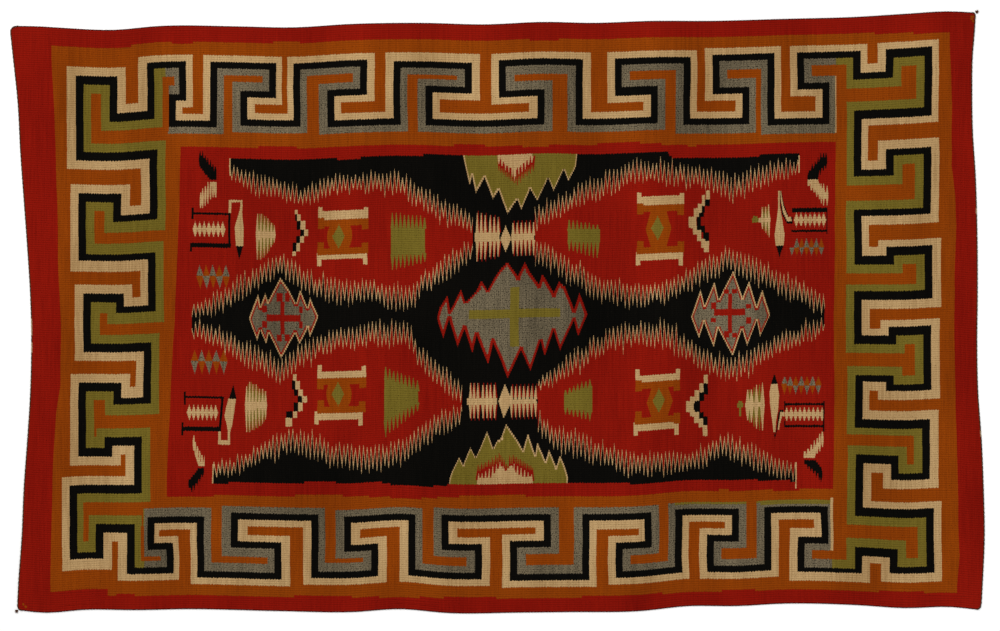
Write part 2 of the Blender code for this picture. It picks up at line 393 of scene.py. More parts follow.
def reaches(stripe):
    """How far black, or black and the stripe named beside it, reach from each corner, across and in warps."""
    counts = [len(side["row"]) for side in FRET]
    across = np.repeat([side["black"] for side in FRET], counts)
    warps = np.repeat([side["warps"]["black"] for side in FRET], counts)
    if stripe != "black":
        across = across + fret_row(stripe)
        warps = warps + np.repeat([side["warps"][stripe] for side in FRET], counts)
    return corner_pairs(across, warps)


def beside(points, reach):
    """The part of the plan nearer to the line than its reach, measured square to its runs."""
    near = np.zeros(yarn.shape, bool)
    for a, b, at_a, at_b in zip(points, np.roll(points, -1, axis=0), reach, np.roll(reach, -1, axis=0)):
        low, high = np.minimum(a - at_a, b - at_b), np.maximum(a + at_a, b + at_b)
        part = columns_of(low[0], high[0])
        along = (place_x[:, part] > low[0]) & (place_x[:, part] < high[0])
        near[:, part] |= along & (warp_number > low[1]) & (warp_number < high[1])
    return near


def enclosed(points):
    """The part of the plan inside the closed line."""
    within = np.zeros(yarn.shape, bool)
    for a, b in zip(points[0::2], points[1::2]):
        within ^= ((a[1] > warp_number) != (b[1] > warp_number)) & (place_x < a[0])
    return within


fret = fret_corners()
inner_side = enclosed(fret)
# The inner line is grey in a stretch above the field and in one below it, and olive elsewhere.
UPPER_GREY = {"left": 166, "right": 836, "low": 140}
LOWER_GREY = {"left": 144.4, "right": 832, "high": 504}
upper_grey = (place_x > UPPER_GREY["left"]) & (place_x < UPPER_GREY["right"]) & (place_y < UPPER_GREY["low"])
lower_grey = (place_x > LOWER_GREY["left"]) & (place_x < LOWER_GREY["right"]) & (place_y > LOWER_GREY["high"])
yarn[beside(fret, reaches("cream")) & ~inner_side] = CREAM
inner_line = beside(fret, reaches("inner")) & inner_side
yarn[inner_line] = np.where(upper_grey | lower_grey, GREY, OLIVE)[inner_line]
yarn[beside(fret, reaches("black"))] = BLACK
# Where the inner line changes colour, at both sides, narrow stripes divide it.
PATCHES = {
    CREAM: ((835, 836, 75, 132), (830.5, 833.2, 498, 551)),
    ORANGE: ((164.8, 168.7, 76, 132), (164.8, 174.5, 76, 86), (141, 144.4, 525, 560.6),
             (141, 159, 557, 560.6)),
}
for colour, blocks in PATCHES.items():
    weave_blocks(blocks, colour)


# The field's three black bands: serrated along their edges, they meet in the middle in a neck.
# Black and red run into each other in long teeth with a fine cream line between them.
TOOTH_PITCH = 3.92
BAND_TOP = ((231, 345, 375, 400, 463, 577, 620, 668, 670, 700, 735, 755, 775, 799),
            (158.5, 159, 157, 155, 155, 155, 154, 152, 157, 158, 158, 156, 154, 154))
BAND_BOTTOM = ((212, 215, 240, 345, 380, 395, 420, 430, 447, 568,
                650, 655, 670, 690, 700, 720, 735, 755, 796),
               (483.5, 483.5, 482.5, 482.5, 482, 485, 486, 486.5, 485, 483.5, 483.5, 482, 480.5, 480.5,
                480, 480, 481, 480, 481))
NECK = {"left": 472.5, "right": 535, "low_left": 462, "low_right": 538, "low_from": 371}
# A row for each bend of an edge: its column, where solid black ends, and how far the teeth reach.
SERRATED = {
    "upper_left": ((231, 165, 180), (250, 170, 192), (270, 176, 198), (290, 184, 205), (300, 188, 207),
                   (310, 183, 205), (330, 173, 197), (355, 175, 191), (370, 172, 195), (390, 170, 193),
                   (400, 171, 197), (410, 178, 205), (430, 190, 215), (450, 201, 225), (460, 204, 229),
                   (472, 215, 235)),
    "upper_right": ((533, 209, 233), (540, 203, 228), (550, 200, 223), (560, 195, 218), (580, 180, 205),
                    (597, 176, 200), (615, 168, 192), (633, 160, 181), (668, 161, 185), (700, 165, 187),
                    (728, 176, 202), (735, 175, 200), (745, 171, 196), (765, 163, 187), (785, 160, 178),
                    (799, 160, 172)),
    "middle_left_top": ((193, 318, 303), (210, 315, 296), (230, 308, 286), (240, 300, 275), (260, 290, 265),
                        (280, 275, 252), (300, 292, 263), (310, 295, 271), (330, 303, 277), (340, 305, 281),
                        (365, 303, 279), (400, 310, 285), (415, 307, 283), (418, 298, 278), (425, 293, 270),
                        (435, 287, 262), (445, 282, 255), (455, 272, 247), (472, 260, 243)),
    "middle_left_low": ((193, 323, 338), (210, 323, 343), (220, 326, 350), (230, 330, 356), (240, 338, 364),
                        (250, 342, 369), (262, 347, 374), (270, 352, 379), (278, 361, 386), (285, 356, 380),
                        (300, 343, 369), (310, 338, 362), (330, 330, 355), (345, 326, 347), (375, 322, 348),
                        (395, 320, 344), (405, 322, 347), (410, 326, 351), (415, 336, 357), (418, 345, 368),
                        (430, 352, 381), (440, 363, 387), (447, 364, 394), (455, 376, 400), (464, 376, 403)),
    "middle_right_top": ((533, 264, 245), (540, 267, 243), (550, 272, 245), (570, 283, 260), (590, 296, 270),
                         (610, 304, 280), (640, 307, 284), (660, 306, 280), (680, 297, 273), (700, 284, 258),
                         (710, 282, 256), (725, 271, 247), (735, 272, 248), (755, 285, 255), (775, 295, 270),
                         (795, 303, 277), (815, 312, 287), (824, 316, 296)),
    "middle_right_low": ((536, 382, 398), (543, 375, 390), (551, 368, 386), (563, 360, 378), (572, 348, 374),
                         (585, 347, 370), (592, 337, 362), (600, 337, 357), (607, 331, 352), (616, 325, 351),
                         (635, 322, 346), (660, 321, 348), (670, 324, 350), (690, 336, 362), (700, 345, 371),
                         (715, 353, 377), (728, 357, 380), (740, 354, 378), (750, 350, 373), (757, 342, 365),
                         (770, 339, 358), (785, 330, 353), (795, 325, 347), (810, 321, 341), (824, 320, 331)),
    "lower_left": ((212.5, 482, 462), (217, 479, 460), (233, 476, 459), (247, 470, 453), (262, 463, 442),
                   (273, 460, 433), (289, 452, 430), (301, 457, 431), (318, 460, 434), (334, 468, 443),
                   (345, 470, 444), (385, 470, 444), (397, 464, 440), (405, 460, 436), (414, 455, 428),
                   (424, 448, 424), (436, 438, 413), (446, 433, 409), (455, 428, 408), (464, 422, 403)),
    "lower_right": ((536, 428, 408), (546, 441, 416), (554, 448, 424), (563, 452, 427), (576, 456, 431),
                    (589, 462, 438), (601, 466, 444), (614, 470, 445), (625, 475, 450), (675, 475, 453),
                    (690, 472, 453), (704, 468, 445), (719, 460, 435), (730, 459, 432), (740, 464, 438),
                    (750, 470, 444), (763, 474, 449), (778, 478, 457), (796, 482, 466)),
}
BLACK_TOOTH, CREAM_START = 0.81, 0.19
UNEVEN_PITCH, UNEVEN_TIPS = 0.16, 0.11


def serrated(name, low, high, facing):
    """Where black, and black or cream, reach along one serrated edge that faces down (1) or up (-1).

    The teeth are a saw line from 0 at their roots to 1 at their tips, a little uneven. Black ends at
    the saw line between its own root and tip, and cream at the same line moved a fifth further.
    """
    count = int((high - low) / TOOTH_PITCH * 2) + 3
    turns = low + np.arange(count) * TOOTH_PITCH / 2 + rng.normal(0, UNEVEN_PITCH, count)
    saw = np.interp(pick_x, turns, np.arange(count) % 2 + rng.normal(0, UNEVEN_TIPS, count))
    column, solid, tip = np.array(SERRATED[name]).T
    root = warp_at(pick_x, np.interp(pick_x, column, solid))
    reach = warp_at(pick_x, np.interp(pick_x, column, tip)) - root
    span = (place_x >= low) & (place_x < high)
    black = span & (warp_number * facing < (root + reach * BLACK_TOOTH * saw) * facing)
    cream = span & (warp_number * facing < (root + reach * (CREAM_START + BLACK_TOOTH * saw)) * facing)
    return black, cream


def weave_band(black, cream):
    """A black part of the plan, with cream where its teeth have their thin line."""
    yarn[cream] = CREAM
    yarn[black] = BLACK


below_top = warp_number > warp_at(pick_x, np.interp(pick_x, *BAND_TOP))
above_bottom = warp_number < warp_at(pick_x, np.interp(pick_x, *BAND_BOTTOM))
for name, low, high, facing, limit in (
    ("upper_left", 230, NECK["left"], 1, below_top),
    ("upper_right", NECK["right"], 799, 1, below_top),
    ("lower_left", 212.5, NECK["low_left"], -1, above_bottom),
    ("lower_right", NECK["low_right"], 796.5, -1, above_bottom),
):
    black, cream = serrated(name, low, high, facing)
    weave_band(black & limit, cream & limit)
for side, low, high in (("left", 192, NECK["left"]), ("right", NECK["right"], 824.5)):
    black_top, cream_top = serrated(f"middle_{side}_top", low, high, -1)
    black_low, cream_low = serrated(f"middle_{side}_low", low, high, 1)
    weave_band(black_top & black_low, cream_top & cream_low)
# A thin cream line closes each outer end of the upper and lower bands.
BAND_ENDS = ((229.6, 231, 159, 176), (798.2, 799.4, 154.5, 174), (212.6, 213.8, 464, 483),
             (795.3, 796.5, 462, 488))
weave_blocks(BAND_ENDS, CREAM)
in_band = below_top & above_bottom
yarn[in_band & (place_x > NECK["left"]) & (place_x < NECK["right"])] = BLACK
low_neck = in_band & (warp_number > warp_at(pick_x, NECK["low_from"]))
yarn[low_neck & (place_x > NECK["low_left"]) & (place_x < NECK["low_right"])] = BLACK

# The stepped medallions: a grey one with a plain olive cross, two small ones with plain red
# crosses and paired squares, and olive half ones growing from the upper and lower bands.
CENTRE_MEDALLION = (
    (437.5, 318), (440, 308), (447.5, 295.5), (450.3, 311), (461, 289), (465.5, 302), (476, 291),
    (481.5, 280), (487.5, 290), (495, 277), (500, 270), (507.5, 262), (517.5, 277), (524.5, 263),
    (530, 274), (538.5, 286), (542, 275), (553.5, 294), (559, 283), (565, 288), (573.6, 310.5), (579, 294),
    (587, 315), (578, 337), (573.6, 320.5), (560, 351), (553.5, 331), (544.5, 357), (540.5, 341),
    (530.5, 371), (521, 350), (507.5, 378), (501, 360), (493.5, 342), (488, 363.5), (477, 334),
    (472.5, 352), (465, 328), (457.5, 346), (450, 318.5), (443.5, 338),
)
LEFT_MEDALLION = (
    (249.5, 319), (258.5, 295), (261, 307), (265.5, 294), (268.5, 302), (280.5, 278), (289, 290),
    (296.5, 304), (300.5, 290), (308, 308), (310.5, 298), (318.5, 317), (310, 337), (308, 328),
    (299.5, 344), (295.5, 333), (281, 358), (269, 333), (266, 344), (260.5, 330), (257, 341),
)
RIGHT_MEDALLION = (
    (691, 317), (700.5, 290), (704.5, 306), (714.5, 282), (718.5, 300), (733.5, 271), (742.5, 298),
    (749, 282), (756.5, 307), (762.5, 291), (769.5, 316), (760, 337), (756.5, 321), (747, 346),
    (742, 329), (732, 356), (718, 328), (713.5, 347), (704, 322), (699, 338),
)
UPPER_HALF_MEDALLION = (
    (463, 155), (469.5, 184), (472, 174), (475.5, 191.5), (484.5, 176), (492.5, 197.5), (498.5, 189),
    (507.5, 213), (517.5, 199), (521.5, 209.5), (530, 189), (537.5, 201), (548, 178), (553.5, 191),
    (564, 169.5), (568.5, 181), (576, 167), (577.5, 155),
)
LOWER_HALF_MEDALLION = (
    (449, 484.5), (450, 477), (452, 471), (459, 457), (463, 464.5), (470.5, 447), (475.5, 457),
    (480, 448), (487, 431), (493, 448.5), (497, 441), (501, 438), (506, 424), (511, 431.5), (517, 440),
    (523, 451), (528, 434), (535, 456), (537.5, 443), (545, 462), (549, 451), (555.5, 468),
    (559.5, 456), (565, 470), (567.5, 478), (567.5, 484.5),
)
# From warp to warp in squares, how far a line starts outside the edge, and a number no yarn has
WARP_APART, OUTER_SLACK = 2.27, 1.0
UNSET = 6


def medallion(outline, fill, lines):
    """A clockwise outline filled with one yarn, its edge followed inside by lines, the widest first.

    A line's width is measured square to the edge, but across it at least runs on from warp to warp.
    Each stretch of it runs a little past its corners, so that it closes below the notches.
    """
    weave_shape(outline, UNSET)
    inside = yarn == UNSET
    yarn[inside] = fill
    for width, colour in lines:
        for (x, y), (x_to, y_to) in zip(outline, outline[1:] + outline[:1]):
            run, fall = x_to - x, y_to - y
            if fall:
                across = max(width * math.hypot(run, fall), WARP_APART * abs(run)) / fall
                outer = math.copysign(OUTER_SLACK, fall)
                past = width / abs(fall)
                start, end = (x - run * past, y - fall * past), (x_to + run * past, y_to + fall * past)
                weave_shape(((start[0] + outer, start[1]), (start[0] - across, start[1]),
                             (end[0] - across, end[1]), (end[0] + outer, end[1])), colour, inside)


def cross(middle, arms, half_width, half_height):
    """A plain red cross: where its arms cross, how far they reach, and how thick they are."""
    x, y = middle
    left, right, top, bottom = arms
    weave_block(x - half_width, x + half_width, top, bottom, RED)
    weave_block(left, right, y - half_height, y + half_height, RED)


medallion(CENTRE_MEDALLION, GREY, ((2.4, RED),))
weave_blocks(((469, 560, 309.5, 318), (510, 519, 288, 346)), OLIVE)
medallion(LEFT_MEDALLION, GREY, ((2.5, RED), (1.1, CREAM)))
medallion(RIGHT_MEDALLION, GREY, ((2.5, RED), (1.1, CREAM)))
cross((283, 317.5), (267, 301, 301, 335), 2, 3.5)
weave_blocks(
    ((277, 283, 294, 301), (285.5, 290, 294, 301), (277, 282, 335, 341), (285, 290, 335, 341),
     (262.5, 267.5, 306, 313), (262.5, 267.5, 322, 328), (299.5, 303, 306, 313), (299.5, 303, 322, 328)),
    RED,
)
cross((730, 313), (714, 745, 294, 333), 2, 3)
weave_blocks(
    ((724, 729, 289, 294), (732, 737, 289, 294), (724, 729, 332, 337), (732, 737, 332, 337),
     (711, 716, 303, 308), (711, 716, 318, 323), (746, 751, 303, 308), (746, 751, 318, 323)),
    RED,
)
medallion(UPPER_HALF_MEDALLION[::-1], OLIVE, ((1.1, CREAM),))
medallion(LOWER_HALF_MEDALLION, OLIVE, ((1.1, CREAM),))


# Half the width of a spike's tip
SPIKE_POINT = 0.25


def spikes(x, root, tip, width, colour):
    """A row of long thin teeth: at columns x, each from its root's row to its tip's row."""
    x, root, tip = np.broadcast_arrays(x, root, tip)
    for place, start, end in zip(x, root, tip):
        low, high = place - width / 2, place + width / 2
        weave_shape(((low, start), (high, start), (place + SPIKE_POINT, end),
                     (place - SPIKE_POINT, end)), colour)


# The hearts of the half medallions: cream running out in spikes with red ones between them.
# A layer is a row of spikes: how far it is shifted, its root's row, how far its tips lie below the
# row of tips, and its width and yarn.
HEARTS = (
    {"columns": np.arange(499, 533, 3.3), "tips": ((499, 514.5, 533), (172, 186, 170)),
     "layers": ((1.6, 155.5, 0, 3.8, RED), (0, 155.5, -2, 3.6, RED), (0, 155.5, -8, 3.2, CREAM)),
     "core": ((499, 155.3), (532.5, 155.3), (528, 160), (520, 167), (516, 169.5), (514.5, 181), (513, 169.5),
              (509, 167), (502, 160))},
    {"columns": np.arange(478, 533, 3.5), "tips": ((477, 499, 506, 511, 533), (466, 453, 463, 453, 467)),
     "layers": ((0, 481, 0, 4.6, RED), (1.7, 481, 2, 3.6, RED), (0.8, 484, 9, 3.0, CREAM)),
     "core": ((480, 479), (492, 476), (500.5, 465), (505.7, 471), (511, 465), (517, 475), (530, 479))},
)
LOWER_HEART_BASE = (478, 532, 477.5, 484)
for heart in HEARTS:
    row_of_tips = np.interp(heart["columns"], *heart["tips"])
    for shift, root, below, width, colour in heart["layers"]:
        spikes(heart["columns"] + shift, root, row_of_tips + below, width, colour)
    weave_shape(heart["core"], CREAM)
weave_block(*LOWER_HEART_BASE, CREAM)

# The small figures, eight kinds in four like corners of the field: bow-ties on the neck, combs,
# half combs, stepped angles, barred figures, feathers, brackets and rows of lozenges.


# How far a red spike stands beside and beyond the cream one before it, and how wide both are
RED_SHIFT, RED_PAST, RED_SPIKE, CREAM_SPIKE = 1.0, 1.5, 3.6, 3.3


def bow_tie(x, body, reach):
    """Cream spikes up and down from a body (its left, right, top and bottom), red ones behind them."""
    left, right, top, bottom = body
    for root, tip, shift in ((top + 1, reach[0], -RED_PAST), (bottom - 1, reach[1], RED_PAST)):
        spikes(x + RED_SHIFT, root, np.add(tip, shift), RED_SPIKE, RED)
    weave_block(left, right, top + 1.5, bottom - 1.5, CREAM)
    for root, tip in ((top + 3, reach[0]), (bottom - 3, reach[1])):
        spikes(x, root, tip, CREAM_SPIKE, CREAM)


teeth_left = np.array((477, 481, 485, 490, 494, 498))
tip_rows = [np.interp(teeth_left, (477, 498), pair) for pair in ((213, 218), (261, 256))]
bow_tie(teeth_left, (474.5, 499, 232, 243), tip_rows)
weave_shape(((500, 239), (505.5, 226), (511, 239), (505.5, 252)), CREAM)
bow_tie(np.arange(513, 534, 4.1), (511, 534, 232, 242), (222, 255))
bow_tie(np.array((470.5, 474, 478, 483, 487, 490.5, 494.5)), (467, 497, 397, 406), (384, 419))
weave_shape(((498.5, 401), (505, 384), (512, 401), (503.5, 418)), CREAM)
bow_tie(np.arange(511.5, 536, 4.0), (509, 536, 397, 405), (386, 417))


COMB_PITCH, COMB_TOOTH = 4.0, 3.8


def olive_comb(low, high, top_root, top_tip, bottom_root, bottom_tip):
    """A comb between two columns whose roots and tips slope: each is given at both columns."""
    x = np.arange(low + 1.5, high, COMB_PITCH)
    rows = [np.interp(x, (low, high), pair) for pair in (top_root, top_tip, bottom_root, bottom_tip)]
    weave_shape(((low, top_root[0]), (high, top_root[1]), (high, bottom_root[1]), (low, bottom_root[0])),
                OLIVE)
    spikes(x, rows[0] + 1, rows[1], COMB_TOOTH, OLIVE)
    spikes(x, rows[2] - 1, rows[3], COMB_TOOTH, OLIVE)


olive_comb(391, 425, (228, 228), (212, 217), (256, 253), (271, 262))
olive_comb(568, 600, (230, 230), (219, 225), (241, 243), (250, 259))
olive_comb(384, 418, (378, 390), (366, 380), (422, 402), (438, 411))
olive_comb(564, 592, (395, 386), (390, 378), (408, 412), (414, 421))


def half_comb(body, teeth, width):
    """A cream body with teeth both ways, olive between them: each has its column and its two tips."""
    middle = np.mean([row for _, row in body])
    x, up, down = np.array(teeth).T
    for tip in (up, down):
        spikes((x[1:] + x[:-1]) / 2, middle, (tip[1:] + tip[:-1]) / 2, width * 0.9, OLIVE)
        spikes(x, middle, tip, width, CREAM)
    weave_shape(body, CREAM)


def ball(x, y, radius, height):
    """A round olive spot: its middle, and half its width and height."""
    turn = np.arange(12) * math.pi / 6
    weave_shape(np.column_stack((x + radius * np.cos(turn), y + height * np.sin(turn))), OLIVE)


half_comb(((256, 232), (274.5, 232), (275, 238), (256, 239.5)),
          ((257.3, 213, 260), (260.8, 214, 259), (264.2, 215.5, 257), (267.6, 218.5, 253), (271, 222, 248),
           (274, 226, 242)), 3.0)
half_comb(((758, 218), (770, 218), (770, 221.5), (758, 221.5)),
          ((762, 208, 229.5), (765.4, 207, 232.5), (768.5, 205, 237.5)), 2.6)
half_comb(((246.5, 401), (266.5, 401), (266, 407.5), (245, 411)),
          ((246.5, 386, 432.5), (249.5, 381, 431.5), (252.7, 384, 430.5), (256, 385, 428.5),
           (259.3, 388.5, 426.5), (262.6, 389.5, 424), (265.6, 391, 419)), 3.0)
half_comb(((745, 402), (764, 402.5), (764, 408), (745, 407)),
          ((747.5, 389, 421), (751.3, 388.5, 423), (756.3, 385, 428.5), (762.3, 383, 431)), 4.6)
ball(755, 220, 3.6, 3.6)
ball(740, 405, 3.3, 3.8)
weave_block(739, 741, 405, 417, OLIVE)

STEPPED_ANGLES = {
    BLACK: (
        (294.5, 297, 215, 222), (296, 300, 222, 230), (300, 304, 230, 237), (296, 300, 236, 244),
        (292.5, 296.5, 243, 251), (705, 710, 199, 207), (701, 705, 206.5, 213), (697, 704, 212.5, 217),
        (697, 701, 216, 230), (700, 705, 225, 233), (703, 709, 233, 241), (292, 295.5, 380, 389),
        (294, 298, 389, 396), (297.5, 302, 396, 403), (293.5, 298, 403, 411), (286, 292.5, 411, 418),
        (703, 708, 384.5, 395), (699, 704, 393, 401), (693.5, 700, 400.5, 413), (699, 703.5, 411, 419),
        (703, 707.5, 417, 425),
    ),
    CREAM: (
        (294, 297, 209, 214.5), (296.5, 300, 214.5, 222), (300, 305, 221.5, 230), (304, 308, 230, 237),
        (300, 304, 237, 243.5), (296.5, 300, 243.5, 251), (292.5, 296, 250.5, 257),
        (706, 710, 190, 199), (702, 705, 195, 206), (698, 702, 204, 212), (694, 699, 209, 217),
        (689, 696.5, 217, 228), (693, 697, 226, 234), (697, 701, 231, 241), (701, 705, 240, 248),
        (704, 709, 242, 251), (293, 296.5, 373, 380), (295.5, 300, 380, 390), (298.5, 303, 390, 396.5),
        (302, 307, 396, 402.5), (298, 302.5, 402.5, 411), (293, 297, 411, 418.5), (285.5, 292, 418, 425.5),
        (704, 708, 374.5, 384.5), (699.5, 703.5, 383, 393), (694.5, 699, 390, 400.5), (690, 694.5, 396, 404),
        (686, 693.5, 402, 411.5), (690, 694.5, 410, 417), (694, 699, 412.5, 424), (698.5, 703, 419, 428),
        (702.5, 707, 425, 435),
    ),
}
for colour, blocks in STEPPED_ANGLES.items():
    weave_blocks(blocks, colour)


# The eye's outline from its middle, and how far the orange round it reaches, and its shoulders
EYE = ((-7.5, 0), (-3, -7.5), (-1, -12), (1.5, -7.5), (5, 0), (1.5, 8), (-1, 12), (-3, 8))
ROUND_REACH, POINTED_REACH, SHOULDER = 12.5, 13, 6


def barred_figure(left, right, rows, slant, eye, rounded):
    """Two cream bars with caps, orange bands with legs between them, and an eye in the middle.

    rows are the top and bottom of the upper bar, then of the lower one.
    """
    upper_top, upper_bottom, lower_top, lower_bottom = rows
    cap, band, leg = 4.3, 6.5, 11
    for top, bottom, tip, shift in (
        (upper_top, upper_bottom, upper_top - 4.5, 0),
        (lower_top, lower_bottom, lower_bottom + 5.5, slant),
    ):
        weave_block(left + shift, right + shift, top, bottom, CREAM)
        for edge in (left + shift, right + shift - cap):
            weave_block(edge, edge + cap, min(tip, top), max(tip, bottom), CREAM)
    weave_block(left, right, upper_bottom, upper_bottom + band, ORANGE)
    weave_block(left - 0.5, right - 0.5, lower_top - band, lower_top, ORANGE)
    for edge in (left, right - band):
        weave_block(edge, edge + band, upper_bottom, upper_bottom + leg, ORANGE)
        weave_block(edge, edge + band, lower_top - leg, lower_top, ORANGE)
    x = eye[0]
    middle, half = (upper_bottom + lower_top) / 2, (lower_top - upper_bottom) / 2
    turn = np.arange(24) * math.pi / 12
    if rounded:
        weave_shape(np.column_stack((x + ROUND_REACH * np.cos(turn), middle + half * np.sin(turn))), ORANGE)
    else:
        tip, shoulder = POINTED_REACH, SHOULDER
        weave_shape(((x - tip, middle), (x - shoulder, upper_bottom), (x + shoulder, upper_bottom),
                     (x + tip, middle), (x + shoulder, lower_top), (x - shoulder, lower_top)), ORANGE)
    weave_shape(np.add(eye, EYE), OLIVE)


barred_figure(318, 368.5, (211.5, 218.5, 254, 260), -1, (340, 236.5), True)
barred_figure(637, 684, (197, 204.5, 253, 259), -1, (658.5, 228), False)
barred_figure(317.5, 365.5, (370.5, 377.5, 412, 419), -3, (339, 394), True)
barred_figure(635, 680, (374, 380.5, 423, 430), -1.5, (659.5, 400.5), False)

FEATHERS = (
    (CREAM, ((239.5, 210), (241.5, 210), (244, 228), (243.2, 246.5), (236, 246.5), (235, 228))),
    (BLACK, ((236.3, 246.5), (243, 246.5), (241, 254), (239.3, 260), (238, 254))),
    (CREAM, ((778, 208), (780, 208), (784, 235), (783, 246.5), (775.5, 246.5), (774, 235))),
    (BLACK, ((775.8, 246.5), (782.8, 246.5), (780.5, 253), (779.3, 258), (778, 253))),
    (CREAM, ((228.5, 398.5), (236, 398.5), (234.5, 410), (232, 425), (230, 432), (228, 432),
             (226.5, 424), (224.5, 416), (226, 408))),
    (BLACK, ((229, 398.7), (236.5, 398.7), (234.5, 390), (233, 384.5), (231.5, 390))),
    (CREAM, ((771, 383), (777, 383), (779, 395), (778, 410), (776, 420), (775, 433), (773.4, 433),
             (772, 420), (770, 405), (769.5, 392))),
    (BLACK, ((771, 383.2), (777.2, 383.2), (775.6, 378), (774, 373.5), (772.4, 378))),
)
# Thin stems that join two of the feathers to their brackets
STEMS = (
    (BLACK, ((773.2, 432), (774.6, 438.5), (777.4, 428), (779.5, 418), (782, 414), (784, 409),
             (780.5, 409), (778.3, 413), (777, 424), (775.4, 432), (774.6, 434.5))),
    (CREAM, ((779.8, 416.5), (780, 412.5), (784, 412), (784, 416), (781.6, 417), (779.6, 424),
             (778.6, 430), (777.4, 430), (778.4, 422))),
    (BLACK, ((779.4, 190), (781, 190), (784, 205), (788, 216), (792, 217.6), (792, 222.6),
             (786, 223), (781.6, 214), (780, 202))),
    (CREAM, ((780, 190), (780.8, 190), (783, 205), (786.5, 215.5), (791, 218.4), (791, 221.6),
             (786.6, 221.4), (782.6, 212), (781, 202))),
)
for colour, outline_points in FEATHERS + STEMS:
    weave_shape(outline_points, colour)
weave_blocks(
    ((228.5, 231, 200, 212.5), (228.5, 242, 199.5, 202.3), (239.8, 242, 200, 213), (778, 779.6, 190, 212),
     (218.3, 220.8, 431, 443), (218, 229.8, 440.8, 443.6), (227.6, 229.8, 430, 443)),
    CREAM,
)


def diamond_row(first, count, pitch, y, half_height):
    """Cream diamonds in a row, joined by a narrow band through their middles."""
    for x in first + pitch * np.arange(count):
        half = pitch * 0.56
        weave_shape(((x - half, y), (x, y - half_height), (x + half, y), (x, y + half_height)), CREAM)
    weave_block(first - pitch * 0.4, first + pitch * (count - 0.6), y - 1.2, y + 1.2, CREAM)


diamond_row(195.5, 7, 4.6, 229.5, 7.7)
diamond_row(795.8, 7, 4.57, 219.9, 7)
diamond_row(189.3, 7, 4.37, 412.5, 7.6)
diamond_row(786.5, 9, 4.4, 414.2, 6.9)
weave_blocks(
    ((192, 230.5, 211.9, 215.8), (191.5, 193.7, 208, 219), (228.4, 230.6, 212, 247), (191, 231, 243.6, 247.4),
     (190.3, 192.4, 243, 252.5), (791.5, 827, 208, 211.4), (791, 827, 229.4, 232.4), (826.2, 827.2, 207, 235),
     (184.5, 224, 395, 398.6), (184, 185.8, 391, 404), (182, 221, 427, 430.6), (181.6, 183.5, 422, 436),
     (784, 824, 402, 405), (784.5, 824, 424.2, 427), (822.8, 824.2, 400, 431), (784, 785.2, 402, 409),
     (784, 785.2, 420, 427)),
    BLACK,
)
weave_shape(((221.3, 398), (223.8, 398), (220.8, 430), (218.4, 430)), BLACK)


def feather_barbs(barbs, colour, width):
    """Barbs side by side: each has its column, top and bottom, is widest half way and pointed at its ends."""
    for x, top, bottom in barbs:
        middle = (top + bottom) / 2
        low, high = x - width / 2, x + width / 2
        weave_shape(((x - 0.3, top), (x + 0.4, top), (high, middle - 3), (high, middle + 2),
                     (x + 0.3, bottom), (x - 0.4, bottom), (low, middle + 3), (low, middle - 2)), colour)


# Each half of a feather: its yarn, how wide its barbs are, the barbs, and the vane that joins them.
HALF_FEATHERS = (
    (BLACK, 2.4, ((200.4, 152, 167), (203, 152, 172), (205.6, 155, 176), (208.2, 158, 178), (210.8, 161, 180),
                  (213.2, 164, 180), (215.6, 166, 180)),
     ((200, 156), (204, 157), (210, 165), (216.6, 173), (216.6, 180.5), (210.4, 180.5), (200, 167))),
    (CREAM, 2.0, ((213, 181, 198), (210.4, 182, 200), (207.8, 183, 203), (205.2, 186, 205),
                  (202.6, 189, 207), (200.6, 193, 208)),
     ((210.6, 181), (216.4, 181), (216.2, 197), (215, 197), (213.4, 188), (210.6, 186))),
    (BLACK, 2.4, ((825.6, 152.5, 169), (823.2, 152, 171), (820.4, 154, 174), (817.6, 158, 176),
                  (814.8, 162, 178), (812, 165, 179), (809.2, 171, 179)),
     ((807.4, 179.3), (818, 179.3), (819.5, 171), (825, 165), (825.6, 157), (821, 158), (812, 169),
      (807.6, 175))),
    (CREAM, 2.0, ((808.6, 180, 187), (811.4, 180, 190.5), (814, 181, 193), (816.6, 182, 196),
                  (819.2, 183, 199), (821, 184, 203), (823.4, 184, 205), (826.8, 186, 206)),
     ((807.4, 179.7), (818, 179.7), (819, 185), (827, 194), (827.4, 200), (822, 198), (813, 189))),
    (CREAM, 1.8, ((194, 436, 451), (195.4, 441, 455), (197.4, 446, 459), (199.6, 451, 463),
                  (201.8, 455, 466)),
     ((198.8, 459), (203, 463), (204.4, 456), (204.6, 467), (199, 467), (195, 455), (194.6, 450))),
    (BLACK, 2.4, ((203, 467, 476), (200.4, 468, 481), (197.6, 471, 485), (194.8, 474, 489),
                  (192, 477, 492), (189.8, 478, 488)),
     ((198.9, 467.2), (204.3, 467.2), (203.6, 473), (197, 482), (190.8, 489), (189.6, 485),
      (189.4, 480), (196, 472))),
    (CREAM, 2.1, ((822.2, 431, 447), (819.6, 434, 451), (817, 438, 454), (814.2, 441, 457),
                  (811.2, 444, 458.6), (808, 448, 458.6), (804.8, 451, 458.6)),
     ((804, 458.8), (804.4, 456), (812, 450), (820, 440), (821, 444), (816, 451), (814.4, 458.8))),
    (BLACK, 2.4, ((805.4, 459, 465), (808, 459, 468), (810.8, 460, 471), (813.6, 461, 474),
                  (816.4, 463, 476.5), (819.2, 466, 479), (821, 469, 481)),
     ((803.8, 459), (814.4, 459), (821.4, 468), (821.8, 478), (819, 475), (806, 463))),
)
for colour, barb_width, barbs, vane in HALF_FEATHERS:
    feather_barbs(barbs, colour, barb_width)
    weave_shape(vane, colour)



